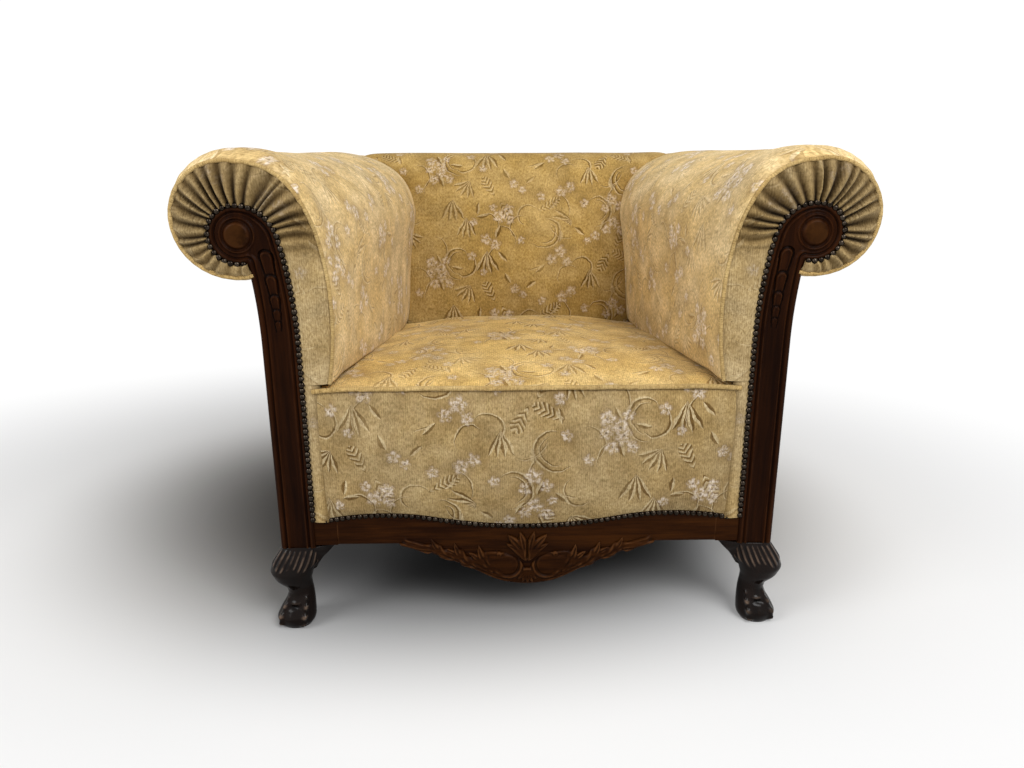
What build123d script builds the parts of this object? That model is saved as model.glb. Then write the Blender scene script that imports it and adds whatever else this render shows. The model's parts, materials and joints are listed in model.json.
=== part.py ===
from build123d import *
from math import cos, radians, sin, sqrt, tan
import os

# Low club armchair in the neo-baroque manner: carved show-wood front, rolled arms with pleated
# fronts, a sprung seat between the arms and a padded back with a rolled top.
# Millimetres; x to the right, y to the rear, z up. The pieces are drawn from the front face of the
# posts (y = 0) and moved at the end, so that the origin lies on the floor under the middle.

# Overall sizes
chair_width = 1056        # over the arm rolls
arm_height = 780          # floor to the top of the arm fronts
back_height = 778         # floor to the top of the back
seat_height = 420         # floor to the front edge of the seat
leg_height = 146          # floor to the underside of the seat frame
seat_depth = 565          # face of the posts to the face of the back, at seat level
frame_depth = 745         # face of the posts to the rear of the seat frame
back_lean = 6             # degrees that the back leans from upright
fit_gap = 0.3             # clearance between pieces laid against each other

# Arms
sitting_width_front = 600
sitting_width_rear = 468
roll_radius = 97
shoulder_reach = 150      # inner face to the start of the rounded shoulder
shoulder_flat = 17        # least flat between the shoulder and the roll
shoulder_in = 24          # inner face to the foot of the rounded shoulder
shoulder_up = 40          # foot of the shoulder above the roll centre
flank_drop = 35           # widest part of the inner face below the roll centre
arm_tuck = 16             # how far the inner face draws back at its foot, at the rear
arm_crown = 10            # fullness of the inner face half-way along
arm_sink = 6              # roll behind the arm front, drawn in from its edge
arm_foot_up = 6           # lower edge of the inside arm above the front edge of the seat

# Front posts
post_width = 56
post_depth = 45
post_inset = 25           # roll centre to the outer edge of the post
sweep_start = 488         # floor to the point where the post begins to sweep out
sweep_radius = 758
scroll_radius = 43
scroll_inset = 4          # scroll centre inside the roll centre
scroll_drop = 27          # scroll centre below the roll centre
scroll_end = 105          # degrees below level where the outer edge leaves the scroll
boss_radius = 21
boss_height = 5
boss_round = 4
ring_width = 3
groove_inset = 9
groove_width = 3
groove_depth = 2.5

# Pleated arm fronts
pleat_count = 24
pleat_first = -92         # degrees, at the underside of the scroll
pleat_last = 188          # degrees, on the inner side
pleat_height = 9
pleat_width = 0.96        # base of a pleat as a share of its step
pleat_rise = 0.33         # height of a pleat at the wood as a share of its full height
pleat_clear = 6           # edge of the wood to the start of the pleats
piping_radius = 4
piping_step = 10          # width of the step in which the arm piping lies
facing_edge = 1           # arm front drawn in behind the piping
strip_width = 15          # narrow strip between the post and the seat border

# Seat frame
rail_height = 103
rail_face = 3             # front rail behind the face of the posts
block_width = 37          # short block between the front rail and a post
side_rail_thickness = 30
apron_drop = 77           # rail underside to the tip of the apron
belly_width = 140
belly_rise = 18
apron_width = 420
tenon_length = 20
tenon_thickness = 12
tenon_shoulder = 12
corner_block_leg = 60
corner_block_height = 50
corner_block_low = 188

# Line of the nails along the front rail, measured from the rail underside
nail_line_middle = 31
nail_line_bend = 44.5
nail_line_end = 42.5
nail_line_bend_x = 150
nail_radius = 4.6
nail_height = 3.5
nail_pitch = 9.5
nail_taper = 30           # degrees

# Front feet
foot_setback = 28         # outer side of the post to the axis of the ankle
foot_levels = [           # share of the leg height, half width, shift outwards, corner radius
    (1.00, 28, 0, 8),
    (0.90, 34, 6, 17),
    (0.78, 38, 11, 22),
    (0.65, 32, 11, 21),
    (0.54, 21, 6, 18),
    (0.44, 19, 5, 17),
    (0.30, 21, 9, 18),
]
wing_thickness = 44
wing_reach = 29
wing_foot = 15            # wing ends this far past the inner edge of the post
wing_drop = 44
ball_radius = 32
ball_height = 29
ball_outward = 13
claw_turns = (-45, 225)   # degrees round the ball, to the front on each side
claw_radius = 7.5
ankle_radius = 15
claw_top = 64
claw_low = 7

# Back posts and hidden rails
back_post_width = 45
back_post_depth = 45
rear_leg_rake = 40
rear_leg_end = 34
back_rail_depth = 30
crest_height = 70
crest_below_roll = 5
tack_rail_height = 40
back_tack_low = 338
arm_rail_height = 30
arm_backing = 2           # arm stuffing past the inner edge of the post

# Upholstery
panel_thickness = 6
cover_thickness = 1.5
web_thickness = 2
web_width = 50
web_pitch = 100
web_count = 5
web_start = 130
arm_web_count = 3
arm_web_start = 130
arm_web_pitch = 200
back_web_count = 3
back_web_pitch = 110
border_thickness = 15
border_crown = 7
seat_pad_thickness = 65   # at the front edge
seat_crown = 20
seat_levels = [           # share of the seat depth, share of the crown
    (0.15, 0.85),
    (0.50, 1.00),
]
seat_front_crown = 6
seat_rear_crown = 10
seat_rear_fall = 10       # rear edge of the seat below its middle
seat_side_draw = 4
seat_front_fall = 3
hessian_thickness = 1.5
back_pad_tuck = 28        # foot of the back pad below the front edge of the seat
back_roll = 80
back_bulge = 12
back_side_pull = 14
spring_radius = 40
spring_waist = 26
spring_wire = 4
spring_turns = 5
spring_steps = 10

# Carved relief on the apron
fan_leaves = 7
fan_spread = 150          # degrees
fan_leaf_width = 15
fan_falloff = 0.28        # how much shorter the outermost leaves are
palmette_foot = 12        # foot of the palmette below the rail underside
shell_length = 30
volute_radius = 17
volute_x = 44
volute_drop = 26          # volute centre below the rail underside
spray_leaves = 5
spray_leaf_length = 64
spray_leaf_width = 30
spray_rise = 0.08         # slope of the lower leaves from the edge
spray_lift = 0.5          # slope of the upper leaves from the edge
upper_share = 0.8         # upper leaves compared with the lower ones
carving_height = 8
carving_bevel = 0.5       # raised middle of a leaf as a share of its outline

# Places that follow from the sizes
roll_x = chair_width / 2 - roll_radius
roll_z = arm_height - roll_radius
post_outer = roll_x - post_inset
post_inner = post_outer - post_width
neck_z = roll_z - sqrt((roll_radius - arm_sink)**2 - post_inset**2)
scroll_x = roll_x - scroll_inset
scroll_z = roll_z - scroll_drop
scroll_top = scroll_z + scroll_radius
seat_half = post_inner - strip_width
seat_pad_low = seat_height - seat_pad_thickness
back_pad_low = seat_height - back_pad_tuck
arm_foot = seat_height + arm_foot_up
block_inner = post_inner - block_width
frame_low = leg_height + cover_thickness + web_thickness + 2 * fit_gap
frame_top = frame_low + rail_height
frame_outer = post_outer - panel_thickness - fit_gap
back_post_inner = frame_outer - back_post_width
side_rail_inner = frame_outer - side_rail_thickness
arm_pad_outer = post_inner + arm_backing
arm_frame_inner = arm_pad_outer + web_thickness + 2 * fit_gap
roll_line = back_height - back_roll
crest_top = roll_line - crest_below_roll
apron_tip = frame_low - apron_drop
palmette_length = nail_line_middle + palmette_foot - 1.5 * nail_radius
lean = tan(radians(back_lean))


def rear_y(z):
    """Depth of the leaning rear plane of the frame at height z."""
    return frame_depth + (z - leg_height) * lean


def frame_front(z):
    """Depth of the leaning front plane of the back frame at height z."""
    return rear_y(z) - back_post_depth


def pad_rear(z):
    """Depth of the rear of the back stuffing, in front of its webbing."""
    return frame_front(z) - web_thickness - 2 * fit_gap


def front_view(y):
    """Drawing plane at depth y whose x and y are the chair's x and z."""
    return Plane(origin=(0, y, 0), x_dir=(1, 0, 0), z_dir=(0, -1, 0))


def side_view(x):
    """Drawing plane at x whose x and y are the chair's y and z."""
    return Plane(origin=(x, 0, 0), x_dir=(0, 1, 0), z_dir=(1, 0, 0))


def board(face, front, depth):
    """A face drawn in front view, made solid from y = front to front + depth."""
    return extrude(front_view(front + depth) * face, depth)


def side_board(points, x, thickness):
    """An outline drawn in side view, made solid from x to x + thickness."""
    return extrude(side_view(x) * make_face(Polyline(*points, close=True)), thickness)


def block(x0, x1, y0, y1, z0, z1):
    """A plain box between two corners."""
    middle = Pos((x0 + x1) / 2, (y0 + y1) / 2, (z0 + z1) / 2)
    return middle * Box(x1 - x0, y1 - y0, z1 - z0)


def leaning(low, high, front, depth, x, width):
    """A member of the leaning back, from front to front + depth behind the frame's front plane."""
    points = [
        (frame_front(low) + front, low),
        (frame_front(low) + front + depth, low),
        (frame_front(high) + front + depth, high),
        (frame_front(high) + front, high),
    ]
    return side_board(points, x, width)


def other_side(part):
    """The matching piece on the left."""
    return mirror(part, about=Plane.YZ)


def post_curve(base):
    """Inner edge of the right post from its base, up the sweep and round the scroll."""
    sweep_centre = Vector(post_inner + sweep_radius, sweep_start)
    across = scroll_x - sweep_centre.X
    rise = scroll_top - sweep_start
    volute = (sweep_radius**2 - across**2 - rise**2) / (2 * (sweep_radius - rise))
    volute_centre = Vector(scroll_x, scroll_top - volute)
    meeting = sweep_centre + (volute_centre - sweep_centre).normalized() * sweep_radius
    sweep_arc = TangentArc((post_inner, sweep_start), meeting, tangent=(0, 1))
    return [
        Line((post_inner, base), (post_inner, sweep_start)),
        sweep_arc,
        TangentArc(meeting, (scroll_x, scroll_top), tangent=sweep_arc % 1),
        CenterArc((scroll_x, scroll_z), scroll_radius, 90, -90 - scroll_end),
    ]


def post_face(base):
    """Front view of the right post."""
    inner = post_curve(base)
    leave = inner[-1] @ 1
    outer_sweep = TangentArc((post_outer, sweep_start), leave, tangent=(0, 1))
    outer = Line((post_outer, base), (post_outer, sweep_start))
    foot = Line((post_inner, base), (post_outer, base))
    return make_face(inner + [outer_sweep, outer, foot])


def tenon_bar(low, high, x, thickness, gap):
    """Both tenons of a side member as one bar; with a gap it is the cutter for the mortises."""
    z0 = low + tenon_shoulder - gap
    z1 = high - tenon_shoulder + gap
    reach = tenon_length + gap
    start = x + (thickness - tenon_thickness) / 2 - gap
    points = [
        (post_depth - reach, z0),
        (frame_front(z0) + reach, z0),
        (frame_front(z1) + reach, z1),
        (post_depth - reach, z1),
    ]
    return side_board(points, start, tenon_thickness + 2 * gap)


def side_member(x, thickness, low, high):
    """A rail from the right front post to the right back post."""
    points = [
        (post_depth, low),
        (frame_front(low), low),
        (frame_front(high), high),
        (post_depth, high),
    ]
    return side_board(points, x, thickness) + tenon_bar(low, high, x, thickness, 0)


def cross_tenon(low, high, gap):
    """Tenons of a rail between the back posts, as one bar."""
    half = back_post_inner + tenon_length + gap
    front = (back_rail_depth - tenon_thickness) / 2 - gap
    z0 = low + tenon_shoulder - gap
    z1 = high - tenon_shoulder + gap
    return leaning(z0, z1, front, tenon_thickness + 2 * gap, -half, 2 * half)


def cross_member(low, high):
    """A rail between the two back posts."""
    body = leaning(low, high, 0, back_rail_depth, -back_post_inner, 2 * back_post_inner)
    return body + cross_tenon(low, high, 0)


def front_tenon(gap):
    """Tenons of the front rail, through the short blocks into the posts."""
    half = post_inner + tenon_length + gap
    y0 = post_depth / 2 - tenon_thickness / 2 - gap
    y1 = post_depth / 2 + tenon_thickness / 2 + gap
    z0 = frame_low + 2 * tenon_shoulder - gap
    z1 = frame_top - tenon_shoulder + gap
    return block(-half, half, y0, y1, z0, z1)


def nail_line(raise_by):
    """Serpentine line of the nails on the front rail, from left to right."""
    low = frame_low + raise_by
    bend = (nail_line_bend_x, low + nail_line_bend)
    bend_left = (-nail_line_bend_x, low + nail_line_bend)
    middle = ThreePointArc(bend_left, (0, low + nail_line_middle), bend)
    end = low + nail_line_end
    right = TangentArc(bend, (seat_half, end), tangent=middle % 1)
    left = TangentArc(bend_left, (-seat_half, end), tangent=(middle % 0) * -1)
    return [left, middle, right]


def apron_edge():
    """Lower edge of the apron: left flank, belly and right flank."""
    half_belly = belly_width / 2
    half_apron = apron_width / 2
    belly_end = apron_tip + belly_rise
    belly = ThreePointArc((-half_belly, belly_end), (0, apron_tip), (half_belly, belly_end))
    right = TangentArc(belly @ 1, (half_apron, frame_low), tangent=belly % 1)
    left = TangentArc(belly @ 0, (-half_apron, frame_low), tangent=(belly % 0) * -1)
    return [left, belly, right]


def front_rail():
    """Front rail with its drop apron."""
    half_apron = apron_width / 2
    rest = Polyline(
        (half_apron, frame_low),
        (block_inner, frame_low),
        (block_inner, frame_top),
        (-block_inner, frame_top),
        (-block_inner, frame_low),
        (-half_apron, frame_low),
    )
    face = make_face(apron_edge() + rest.edges())
    return board(face, rail_face, post_depth - rail_face) + front_tenon(0)


def rail_block():
    """Short block between the front rail and the right post."""
    start = block_inner + fit_gap / 2
    end = post_inner - fit_gap / 2
    body = block(start, end, rail_face, post_depth, frame_low, frame_top)
    return body - front_tenon(fit_gap)


def boss():
    """Turned boss in the eye of the right scroll, with a ring round it."""
    at = front_view(0) * Pos(scroll_x, scroll_z)
    disc = extrude(at * Circle(boss_radius), boss_height)
    disc = fillet(disc.faces().sort_by(Axis.Y)[0].edges(), boss_round)
    ring = Circle(boss_radius + 2 * ring_width) - Circle(boss_radius + ring_width)
    return disc + extrude(at * ring, ring_width)


def front_post(mortises):
    """Right front post: swept stump, scroll with a boss, grooves along the edges."""
    body = board(post_face(leg_height), 0, post_depth)
    long_face = post_face(leg_height - 4 * groove_inset)
    band = offset(long_face, -groove_inset) - offset(long_face, -groove_inset - groove_width)
    body = body - board(band, 0, groove_depth)
    return body - mortises + boss()


def foot_section(share, half, outward, corner):
    """One level of the right front foot, shifted outwards and forwards alike."""
    x = post_outer - foot_setback + outward
    y = foot_setback - outward
    plane = Plane(origin=(x, y, leg_height * share))
    return plane * RectangleRounded(2 * half, 2 * half, corner)


def front_foot():
    """Right front foot: full knee, slim ankle and a ball held by two claws."""
    knee = loft([foot_section(*level) for level in foot_levels])
    x = post_outer - foot_setback + ball_outward
    y = foot_setback - ball_outward
    parts = [knee, Pos(x, y, ball_height) * Sphere(ball_radius)]
    for turn in claw_turns:
        out = Vector(cos(radians(turn)), sin(radians(turn)), 0)
        axis = Vector(x, y, 0)
        path = ThreePointArc(
            axis + out * ankle_radius + Vector(0, 0, claw_top),
            axis + out * (ball_radius + claw_radius / 2) + Vector(0, 0, ball_height),
            axis + out * ball_radius + Vector(0, 0, claw_low),
        )
        parts.append(sweep(Plane(origin=path @ 0, z_dir=path % 0) * Circle(claw_radius), path))
    foot_depth = 2 * foot_setback
    inner = post_outer - foot_depth
    wing = [
        (inner + wing_foot, leg_height),
        (inner - wing_reach, leg_height),
        (inner + wing_foot, leg_height - wing_drop),
    ]
    parts.append(board(make_face(Polyline(*wing, close=True)), fit_gap, wing_thickness))
    rear_wing = [
        (foot_depth - wing_foot, leg_height),
        (foot_depth + wing_reach, leg_height),
        (foot_depth - wing_foot, leg_height - wing_drop),
    ]
    parts.append(side_board(rear_wing, post_outer - wing_thickness - fit_gap, wing_thickness))
    above_floor = block(0, chair_width, -chair_width, chair_width, 0, leg_height)
    return parts[0].fuse(*parts[1:]) & above_floor


def back_post(mortises):
    """Right back post, going on below the seat as a plain raked leg."""
    points = [
        (rear_y(leg_height), leg_height),
        (rear_y(crest_top), crest_top),
        (frame_front(crest_top), crest_top),
        (frame_front(leg_height), leg_height),
        (frame_depth + rear_leg_rake - rear_leg_end, 0),
        (frame_depth + rear_leg_rake, 0),
    ]
    return side_board(points, back_post_inner, back_post_width) - mortises


def corner_blocks():
    """Four triangular blocks in the corners of the seat frame."""
    high = corner_block_low + corner_block_height
    made = []
    for y, turn in ((post_depth + fit_gap, 1), (frame_front(corner_block_low) - fit_gap, -1)):
        x = side_rail_inner - fit_gap
        triangle = make_face(Polyline(
            (x, y),
            (x - corner_block_leg, y),
            (x, y + turn * corner_block_leg),
            close=True,
        ))
        wedge = extrude(Plane(origin=(0, 0, corner_block_low)) * triangle, high - corner_block_low)
        made += [wedge, other_side(wedge)]
    return made


def drawn_in(edges, inset):
    """A chain of tangent arcs redrawn inside itself at a constant distance."""
    moved = []
    for edge in edges:
        ends = []
        for share in (0, 1):
            along = edge % share
            ends.append((edge @ share) + Vector(-along.Y, along.X) * inset)
        moved.append(TangentArc(*ends, tangent=edge % 0))
    return moved


def arm_line(inner, tuck, inset):
    """Arm section from the neck, round the roll, over the top and down the inner face."""
    radius = roll_radius - inset
    top = arm_height - inset
    neck = (post_outer, roll_z - sqrt(radius**2 - post_inset**2))
    diagonal = radius * sqrt(0.5)
    under = radius * sin(radians(30))
    beside = radius * cos(radians(30))
    shoulder = min(inner + shoulder_reach, roll_x - shoulder_flat)
    shoulder_foot = (inner + shoulder_in, roll_z + shoulder_up)
    first = TangentArc((shoulder, arm_height), shoulder_foot, tangent=(-1, 0))
    second = TangentArc(first @ 1, (inner, roll_z - flank_drop), tangent=first % 1)
    third = TangentArc(second @ 1, (inner + tuck, arm_foot), tangent=second % 1)
    return [
        ThreePointArc(neck, (roll_x + beside, roll_z - under), (roll_x + radius, roll_z)),
        ThreePointArc(
            (roll_x + radius, roll_z),
            (roll_x + diagonal, roll_z + diagonal),
            (roll_x, top),
        ),
        Line((roll_x, top), (shoulder, top)),
    ] + drawn_in([first, second, third], inset)


def arm_face(inner, tuck, inset, outer):
    """Arm section closed along the arm frame at x = outer."""
    line = arm_line(inner, tuck, inset)
    neck = line[0] @ 0
    foot = line[-1] @ 1
    closing = Polyline(foot, (outer, foot.Y), (outer, neck.Y), neck)
    return make_face(line + closing.edges())


def arm_pad(back_space):
    """Right arm: inside face, shoulder and roll, from the front post to the rear plane."""
    front = sitting_width_front / 2 - arm_sink
    rear = sitting_width_rear / 2 - arm_sink
    end = rear_y(arm_height) + back_post_depth
    stations = [
        (post_depth + fit_gap, front, 0),
        (seat_depth / 2, (front + rear) / 2 - arm_crown, arm_tuck / 2),
        (seat_depth, rear, arm_tuck),
        (end, rear, arm_tuck),
    ]
    sections = []
    for y, inner, tuck in stations:
        sections.append(front_view(y) * arm_face(inner, tuck, arm_sink, arm_pad_outer))
    return loft(sections) - back_space


def pleat(turn, face, wood):
    """One radial pleat of the right arm front, as a ridge that widens outwards."""
    out = Vector(cos(radians(turn)), sin(radians(turn)))
    centre = Vector(scroll_x, scroll_z)
    ray = Line(centre, centre + out * chair_width)
    reach = (ray & face).length - piping_radius / 2
    start = (ray & wood).length + pleat_clear
    half_step = radians((pleat_last - pleat_first) / pleat_count) / 2
    side = Vector(-out.Y, out.X)
    near = centre + out * start
    far = centre + out * reach
    sections = []
    low = pleat_height * pleat_rise
    for place, distance, height in ((near, start, low), (far, reach, pleat_height)):
        half = side * (distance * half_step * pleat_width)
        left = place + half
        right = place - half
        sections.append(make_face(Polyline(
            (left.X, 0, left.Y),
            (place.X, -height, place.Y),
            (right.X, 0, right.Y),
            close=True,
        )))
    return loft(sections, ruled=True)


def post_space():
    """Room that the pieces round the right post leave for it."""
    return board(offset(post_face(leg_height), fit_gap), -post_depth, 3 * post_depth)


def arm_front():
    """Right arm front: stuffed plate round the post with radial pleats and a strip to the rail."""
    inner = sitting_width_front / 2
    back = board(
        arm_face(inner, 0, facing_edge, post_outer - piping_radius),
        2 * piping_radius,
        post_depth - 2 * piping_radius,
    )
    face = arm_face(inner, 0, piping_step, post_outer - piping_radius)
    plate = back + board(face, 0, 2 * piping_radius)
    step = (pleat_last - pleat_first) / pleat_count
    wood = post_face(leg_height)
    ridges = []
    for i in range(pleat_count):
        ridges.append(pleat(pleat_first + (i + 0.5) * step, face, wood))
    strip_low = frame_low + nail_line_end
    strip_high = arm_foot + piping_step
    strip = block(seat_half + fit_gap, post_inner, 0, rail_face - fit_gap, strip_low, strip_high)
    return plate.fuse(*ridges) + strip - post_space()


def arm_piping():
    """Piping round the right arm front, from the neck to the foot of the inner face."""
    line = arm_line(sitting_width_front / 2, 0, piping_step - piping_radius - fit_gap)
    path = front_view(piping_radius - fit_gap) * Wire(line)
    tube = sweep(Plane(origin=path @ 0, z_dir=path % 0) * Circle(piping_radius), path)
    return tube - post_space()


def nails_on(path, face_y):
    """A row of small domed nails, evenly spaced along a line drawn in front view."""
    count = round(path.length / nail_pitch)
    made = []
    for i in range(count):
        at = path.position_at((i + 0.5) / count)
        head = front_view(face_y) * Pos(at.X, at.Y) * RegularPolygon(nail_radius, 8)
        made.append(extrude(head, nail_height, taper=nail_taper))
    return made


def seat_border():
    """Front border of the seat, from the nails on the rail up to the piping, with a full face."""
    low = nail_line(nail_radius + fit_gap)
    start = low[-1] @ 1
    top = seat_height - piping_radius
    sides = Polyline(start, (seat_half, top), (-seat_half, top), (-seat_half, start.Y))
    back = rail_face - fit_gap
    front = back - border_thickness
    outline = board(make_face(low + sides.edges()), front, border_thickness)
    bottom = frame_low + nail_line_middle
    edge = front + border_crown
    full = ThreePointArc((edge, top), (front, (top + bottom) / 2), (edge, bottom))
    closing = Polyline(full @ 1, (back, bottom), (back, top), full @ 0)
    barrel = extrude(side_view(-seat_half) * make_face([full] + closing.edges()), 2 * seat_half)
    return outline & barrel


def seat_section(y, side, crown):
    """Seat pad at depth y: flat underside, sides drawn in, crowned top."""
    middle = (seat_pad_low + side) / 2
    drawn = seat_half - seat_side_draw
    edges = [
        Line((-seat_half, seat_pad_low), (seat_half, seat_pad_low)),
        ThreePointArc((seat_half, seat_pad_low), (drawn, middle), (seat_half, side)),
        ThreePointArc((seat_half, side), (0, side + crown), (-seat_half, side)),
        ThreePointArc((-seat_half, side), (-drawn, middle), (-seat_half, seat_pad_low)),
    ]
    return front_view(y) * make_face(edges)


def seat_pad():
    """Seat top pad, crowned from side to side and from front to back."""
    side = seat_height - seat_front_fall
    sections = [seat_section(rail_face + fit_gap, side - seat_front_fall, seat_front_crown)]
    for share, crown in seat_levels:
        sections.append(seat_section(seat_depth * share, side, seat_crown * crown))
    sections.append(seat_section(seat_depth - seat_front_fall, side - seat_rear_fall, seat_rear_crown))
    return loft(sections)


def back_section(x, pull):
    """Side view of the back pad at x, its face drawn back by pull."""
    face_top = rear_y(roll_line) - 2 * back_roll + pull
    face_low = seat_depth + pull
    reach = back_roll - pull / 2
    centre = face_top + reach
    diagonal = sqrt(0.5)
    edges = [
        ThreePointArc(
            (face_low, back_pad_low),
            ((face_low + face_top) / 2 - back_bulge, (back_pad_low + roll_line) / 2),
            (face_top, roll_line),
        ),
        ThreePointArc(
            (face_top, roll_line),
            (centre - reach * diagonal, roll_line + back_roll * diagonal),
            (centre, back_height),
        ),
        ThreePointArc(
            (centre, back_height),
            (centre + reach * diagonal, roll_line + back_roll * diagonal),
            (rear_y(roll_line), roll_line),
        ),
    ]
    shelf = crest_top + fit_gap
    closing = Polyline(
        (rear_y(roll_line), roll_line),
        (rear_y(shelf), shelf),
        (pad_rear(shelf), shelf),
        (pad_rear(back_pad_low), back_pad_low),
        (face_low, back_pad_low),
    )
    return side_view(x) * make_face(edges + closing.edges())


def back_pad(arms):
    """Inside back between the arms, rolled over the crest rail."""
    sections = []
    for place, pull in ((-1, back_side_pull), (0, 0), (1, back_side_pull)):
        sections.append(back_section(place * post_inner, pull))
    return loft(sections) - arms[0] - arms[1]


def outside_arm():
    """Outside panel of the right arm, from the post to the rear plane."""
    low = leg_height
    high = neck_z - fit_gap
    start = post_depth + fit_gap
    points = [
        (start, low),
        (rear_y(low), low),
        (rear_y(high), high),
        (start, high),
    ]
    return side_board(points, post_outer - panel_thickness, panel_thickness)


def outside_back():
    """Outside back with an ear over the rear end of each roll."""
    inset = arm_sink + facing_edge
    ear = arm_face(sitting_width_rear / 2 - arm_sink, arm_tuck, inset, frame_outer)
    middle = (leg_height + roll_line) / 2
    plain = Pos(0, middle) * Rectangle(2 * post_outer, roll_line - leg_height)
    face = plain + ear + mirror(ear, about=Plane.YZ)
    tall = board(face, seat_depth, frame_depth)
    sheet_front = back_post_depth + fit_gap
    sheet = leaning(0, 2 * arm_height, sheet_front, panel_thickness, -chair_width, 2 * chair_width)
    return tall & sheet


def dust_cover():
    """Thin cloth under the seat frame, cut out round the back legs."""
    half = frame_outer - fit_gap
    start = post_depth + fit_gap
    z1 = leg_height + cover_thickness
    end = rear_y(leg_height) - fit_gap
    sheet = block(-half, half, start, end, leg_height, z1)
    for x in (-frame_outer - fit_gap, back_post_inner - fit_gap):
        notch = block(x, x + back_post_width + 2 * fit_gap,
                      frame_front(leg_height) - fit_gap, frame_depth + back_post_depth, 0, arm_height)
        sheet = sheet - notch
    return sheet


def seat_webbing():
    """Straps under the side rails, and straps across them from front to rear."""
    z0 = leg_height + cover_thickness + fit_gap
    z1 = z0 + web_thickness
    z2 = z1 + fit_gap
    half = frame_outer - fit_gap
    straps = []
    for i in range(web_count):
        y = web_start + i * web_pitch
        straps.append(block(-half, half, y - web_width / 2, y + web_width / 2, z0, z1))
    for i in range(web_count):
        x = (i - (web_count - 1) / 2) * web_pitch
        x0 = x - web_width / 2
        end = frame_front(z2) - fit_gap
        straps.append(block(x0, x0 + web_width, post_depth + fit_gap, end, z2, z2 + web_thickness))
    return straps


def coil_spring(height):
    """One double-cone spring standing on the origin."""
    steps = spring_turns * spring_steps
    sections = []
    for i in range(steps + 1):
        share = i / steps
        turn = radians(360 * spring_turns * share)
        radius = spring_waist + (spring_radius - spring_waist) * abs(2 * share - 1)
        out = Vector(cos(turn), sin(turn), 0)
        along = Vector(-sin(turn), cos(turn), 0)
        at = out * radius + Vector(0, 0, spring_wire / 2 + share * (height - spring_wire))
        plane = Plane(origin=at, x_dir=out, z_dir=along)
        sections.append(plane * Rectangle(spring_wire, spring_wire))
    return loft(sections, ruled=True)


def seat_springs():
    """Springs on every second crossing of the webbing."""
    low = frame_low + web_thickness + fit_gap
    high = seat_pad_low - hessian_thickness - 2 * fit_gap
    spring = coil_spring(high - low)
    made = []
    for column in (-1, 0, 1):
        for row in (0, 1, 2):
            x = column * 2 * web_pitch
            y = web_start + row * 2 * web_pitch
            made.append(Pos(x, y, low) * spring)
    return made


def seat_hessian():
    """Hessian over the springs."""
    z1 = seat_pad_low - fit_gap
    end = seat_depth - seat_front_fall
    return block(-seat_half, seat_half, post_depth + fit_gap, end, z1 - hessian_thickness, z1)


def arm_webbing(rail_low, rail_high):
    """Upright straps between the two rails of the right arm."""
    x0 = arm_pad_outer + fit_gap
    straps = []
    for i in range(arm_web_count):
        y = arm_web_start + i * arm_web_pitch
        straps.append(block(x0, x0 + web_thickness, y, y + web_width, rail_low, rail_high))
    return straps


def back_webbing():
    """Upright straps on the front of the back frame."""
    straps = []
    for i in range(back_web_count):
        x = (i - (back_web_count - 1) / 2) * back_web_pitch - web_width / 2
        front = -web_thickness - fit_gap
        straps.append(leaning(back_tack_low, crest_top, front, web_thickness, x, web_width))
    return straps


def leaf_face(tail, tip, width, share):
    """A pointed leaf in front view between two arcs, shrunk towards its middle."""
    middle = (tail + tip) * 0.5
    along = (tip - tail).normalized()
    bow = Vector(-along.Y, along.X) * (width / 2 * share)
    start = middle + (tail - middle) * share
    end = middle + (tip - middle) * share
    return make_face([
        ThreePointArc(start, middle + bow, end),
        ThreePointArc(end, middle - bow, start),
    ])


def fan_of_leaves(foot, facing, length):
    """Leaves spread from one point, the middle one the longest, as tail, tip and width."""
    leaves = []
    for i in range(fan_leaves):
        aside = fan_spread * (i / (fan_leaves - 1) - 0.5)
        turn = radians(facing + aside)
        reach = length * (1 - fan_falloff + fan_falloff * cos(radians(aside)))
        leaves.append((foot, foot + Vector(cos(turn), sin(turn)) * reach, fan_leaf_width))
    return leaves


def spray_of_leaves():
    """Leaves of the right spray: a lower row along the edge and an upper row rising from it."""
    flank = apron_edge()[2]
    leaves = []
    for i in range(spray_leaves):
        share = i / spray_leaves
        along = flank % share
        up = Vector(-along.Y, along.X)
        width = spray_leaf_width * (1 - share / 2)
        length = spray_leaf_length * (1 - share / 2)
        tail = (flank @ share) + up * (width / 2)
        leaves.append((tail, tail + (along + up * spray_rise) * length, width))
        width = width * upper_share
        length = length * upper_share
        tail = tail + up * width
        leaves.append((tail, tail + (along + up * spray_lift) * length, width))
    return leaves


def apron_carving():
    """Raised carving on the apron in two steps: palmette, shell, two volutes and two leaf sprays."""
    leaves = fan_of_leaves(Vector(0, frame_low - palmette_foot), 90, palmette_length)
    shell_foot = Vector(0, apron_tip + shell_length + fan_leaf_width / 2)
    leaves += fan_of_leaves(shell_foot, -90, shell_length)
    whole = Part()
    for share, height in ((1, carving_height / 2), (carving_bevel, carving_height)):
        faces = [leaf_face(*leaf, share) for leaf in leaves]
        spray = [leaf_face(*leaf, share) for leaf in spray_of_leaves()]
        spray.append(Pos(volute_x, frame_low - volute_drop) * Circle(volute_radius * share))
        faces += spray + [mirror(face, about=Plane.YZ) for face in spray]
        whole = whole + board(Sketch() + faces, rail_face - height, height)
    return whole


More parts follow.
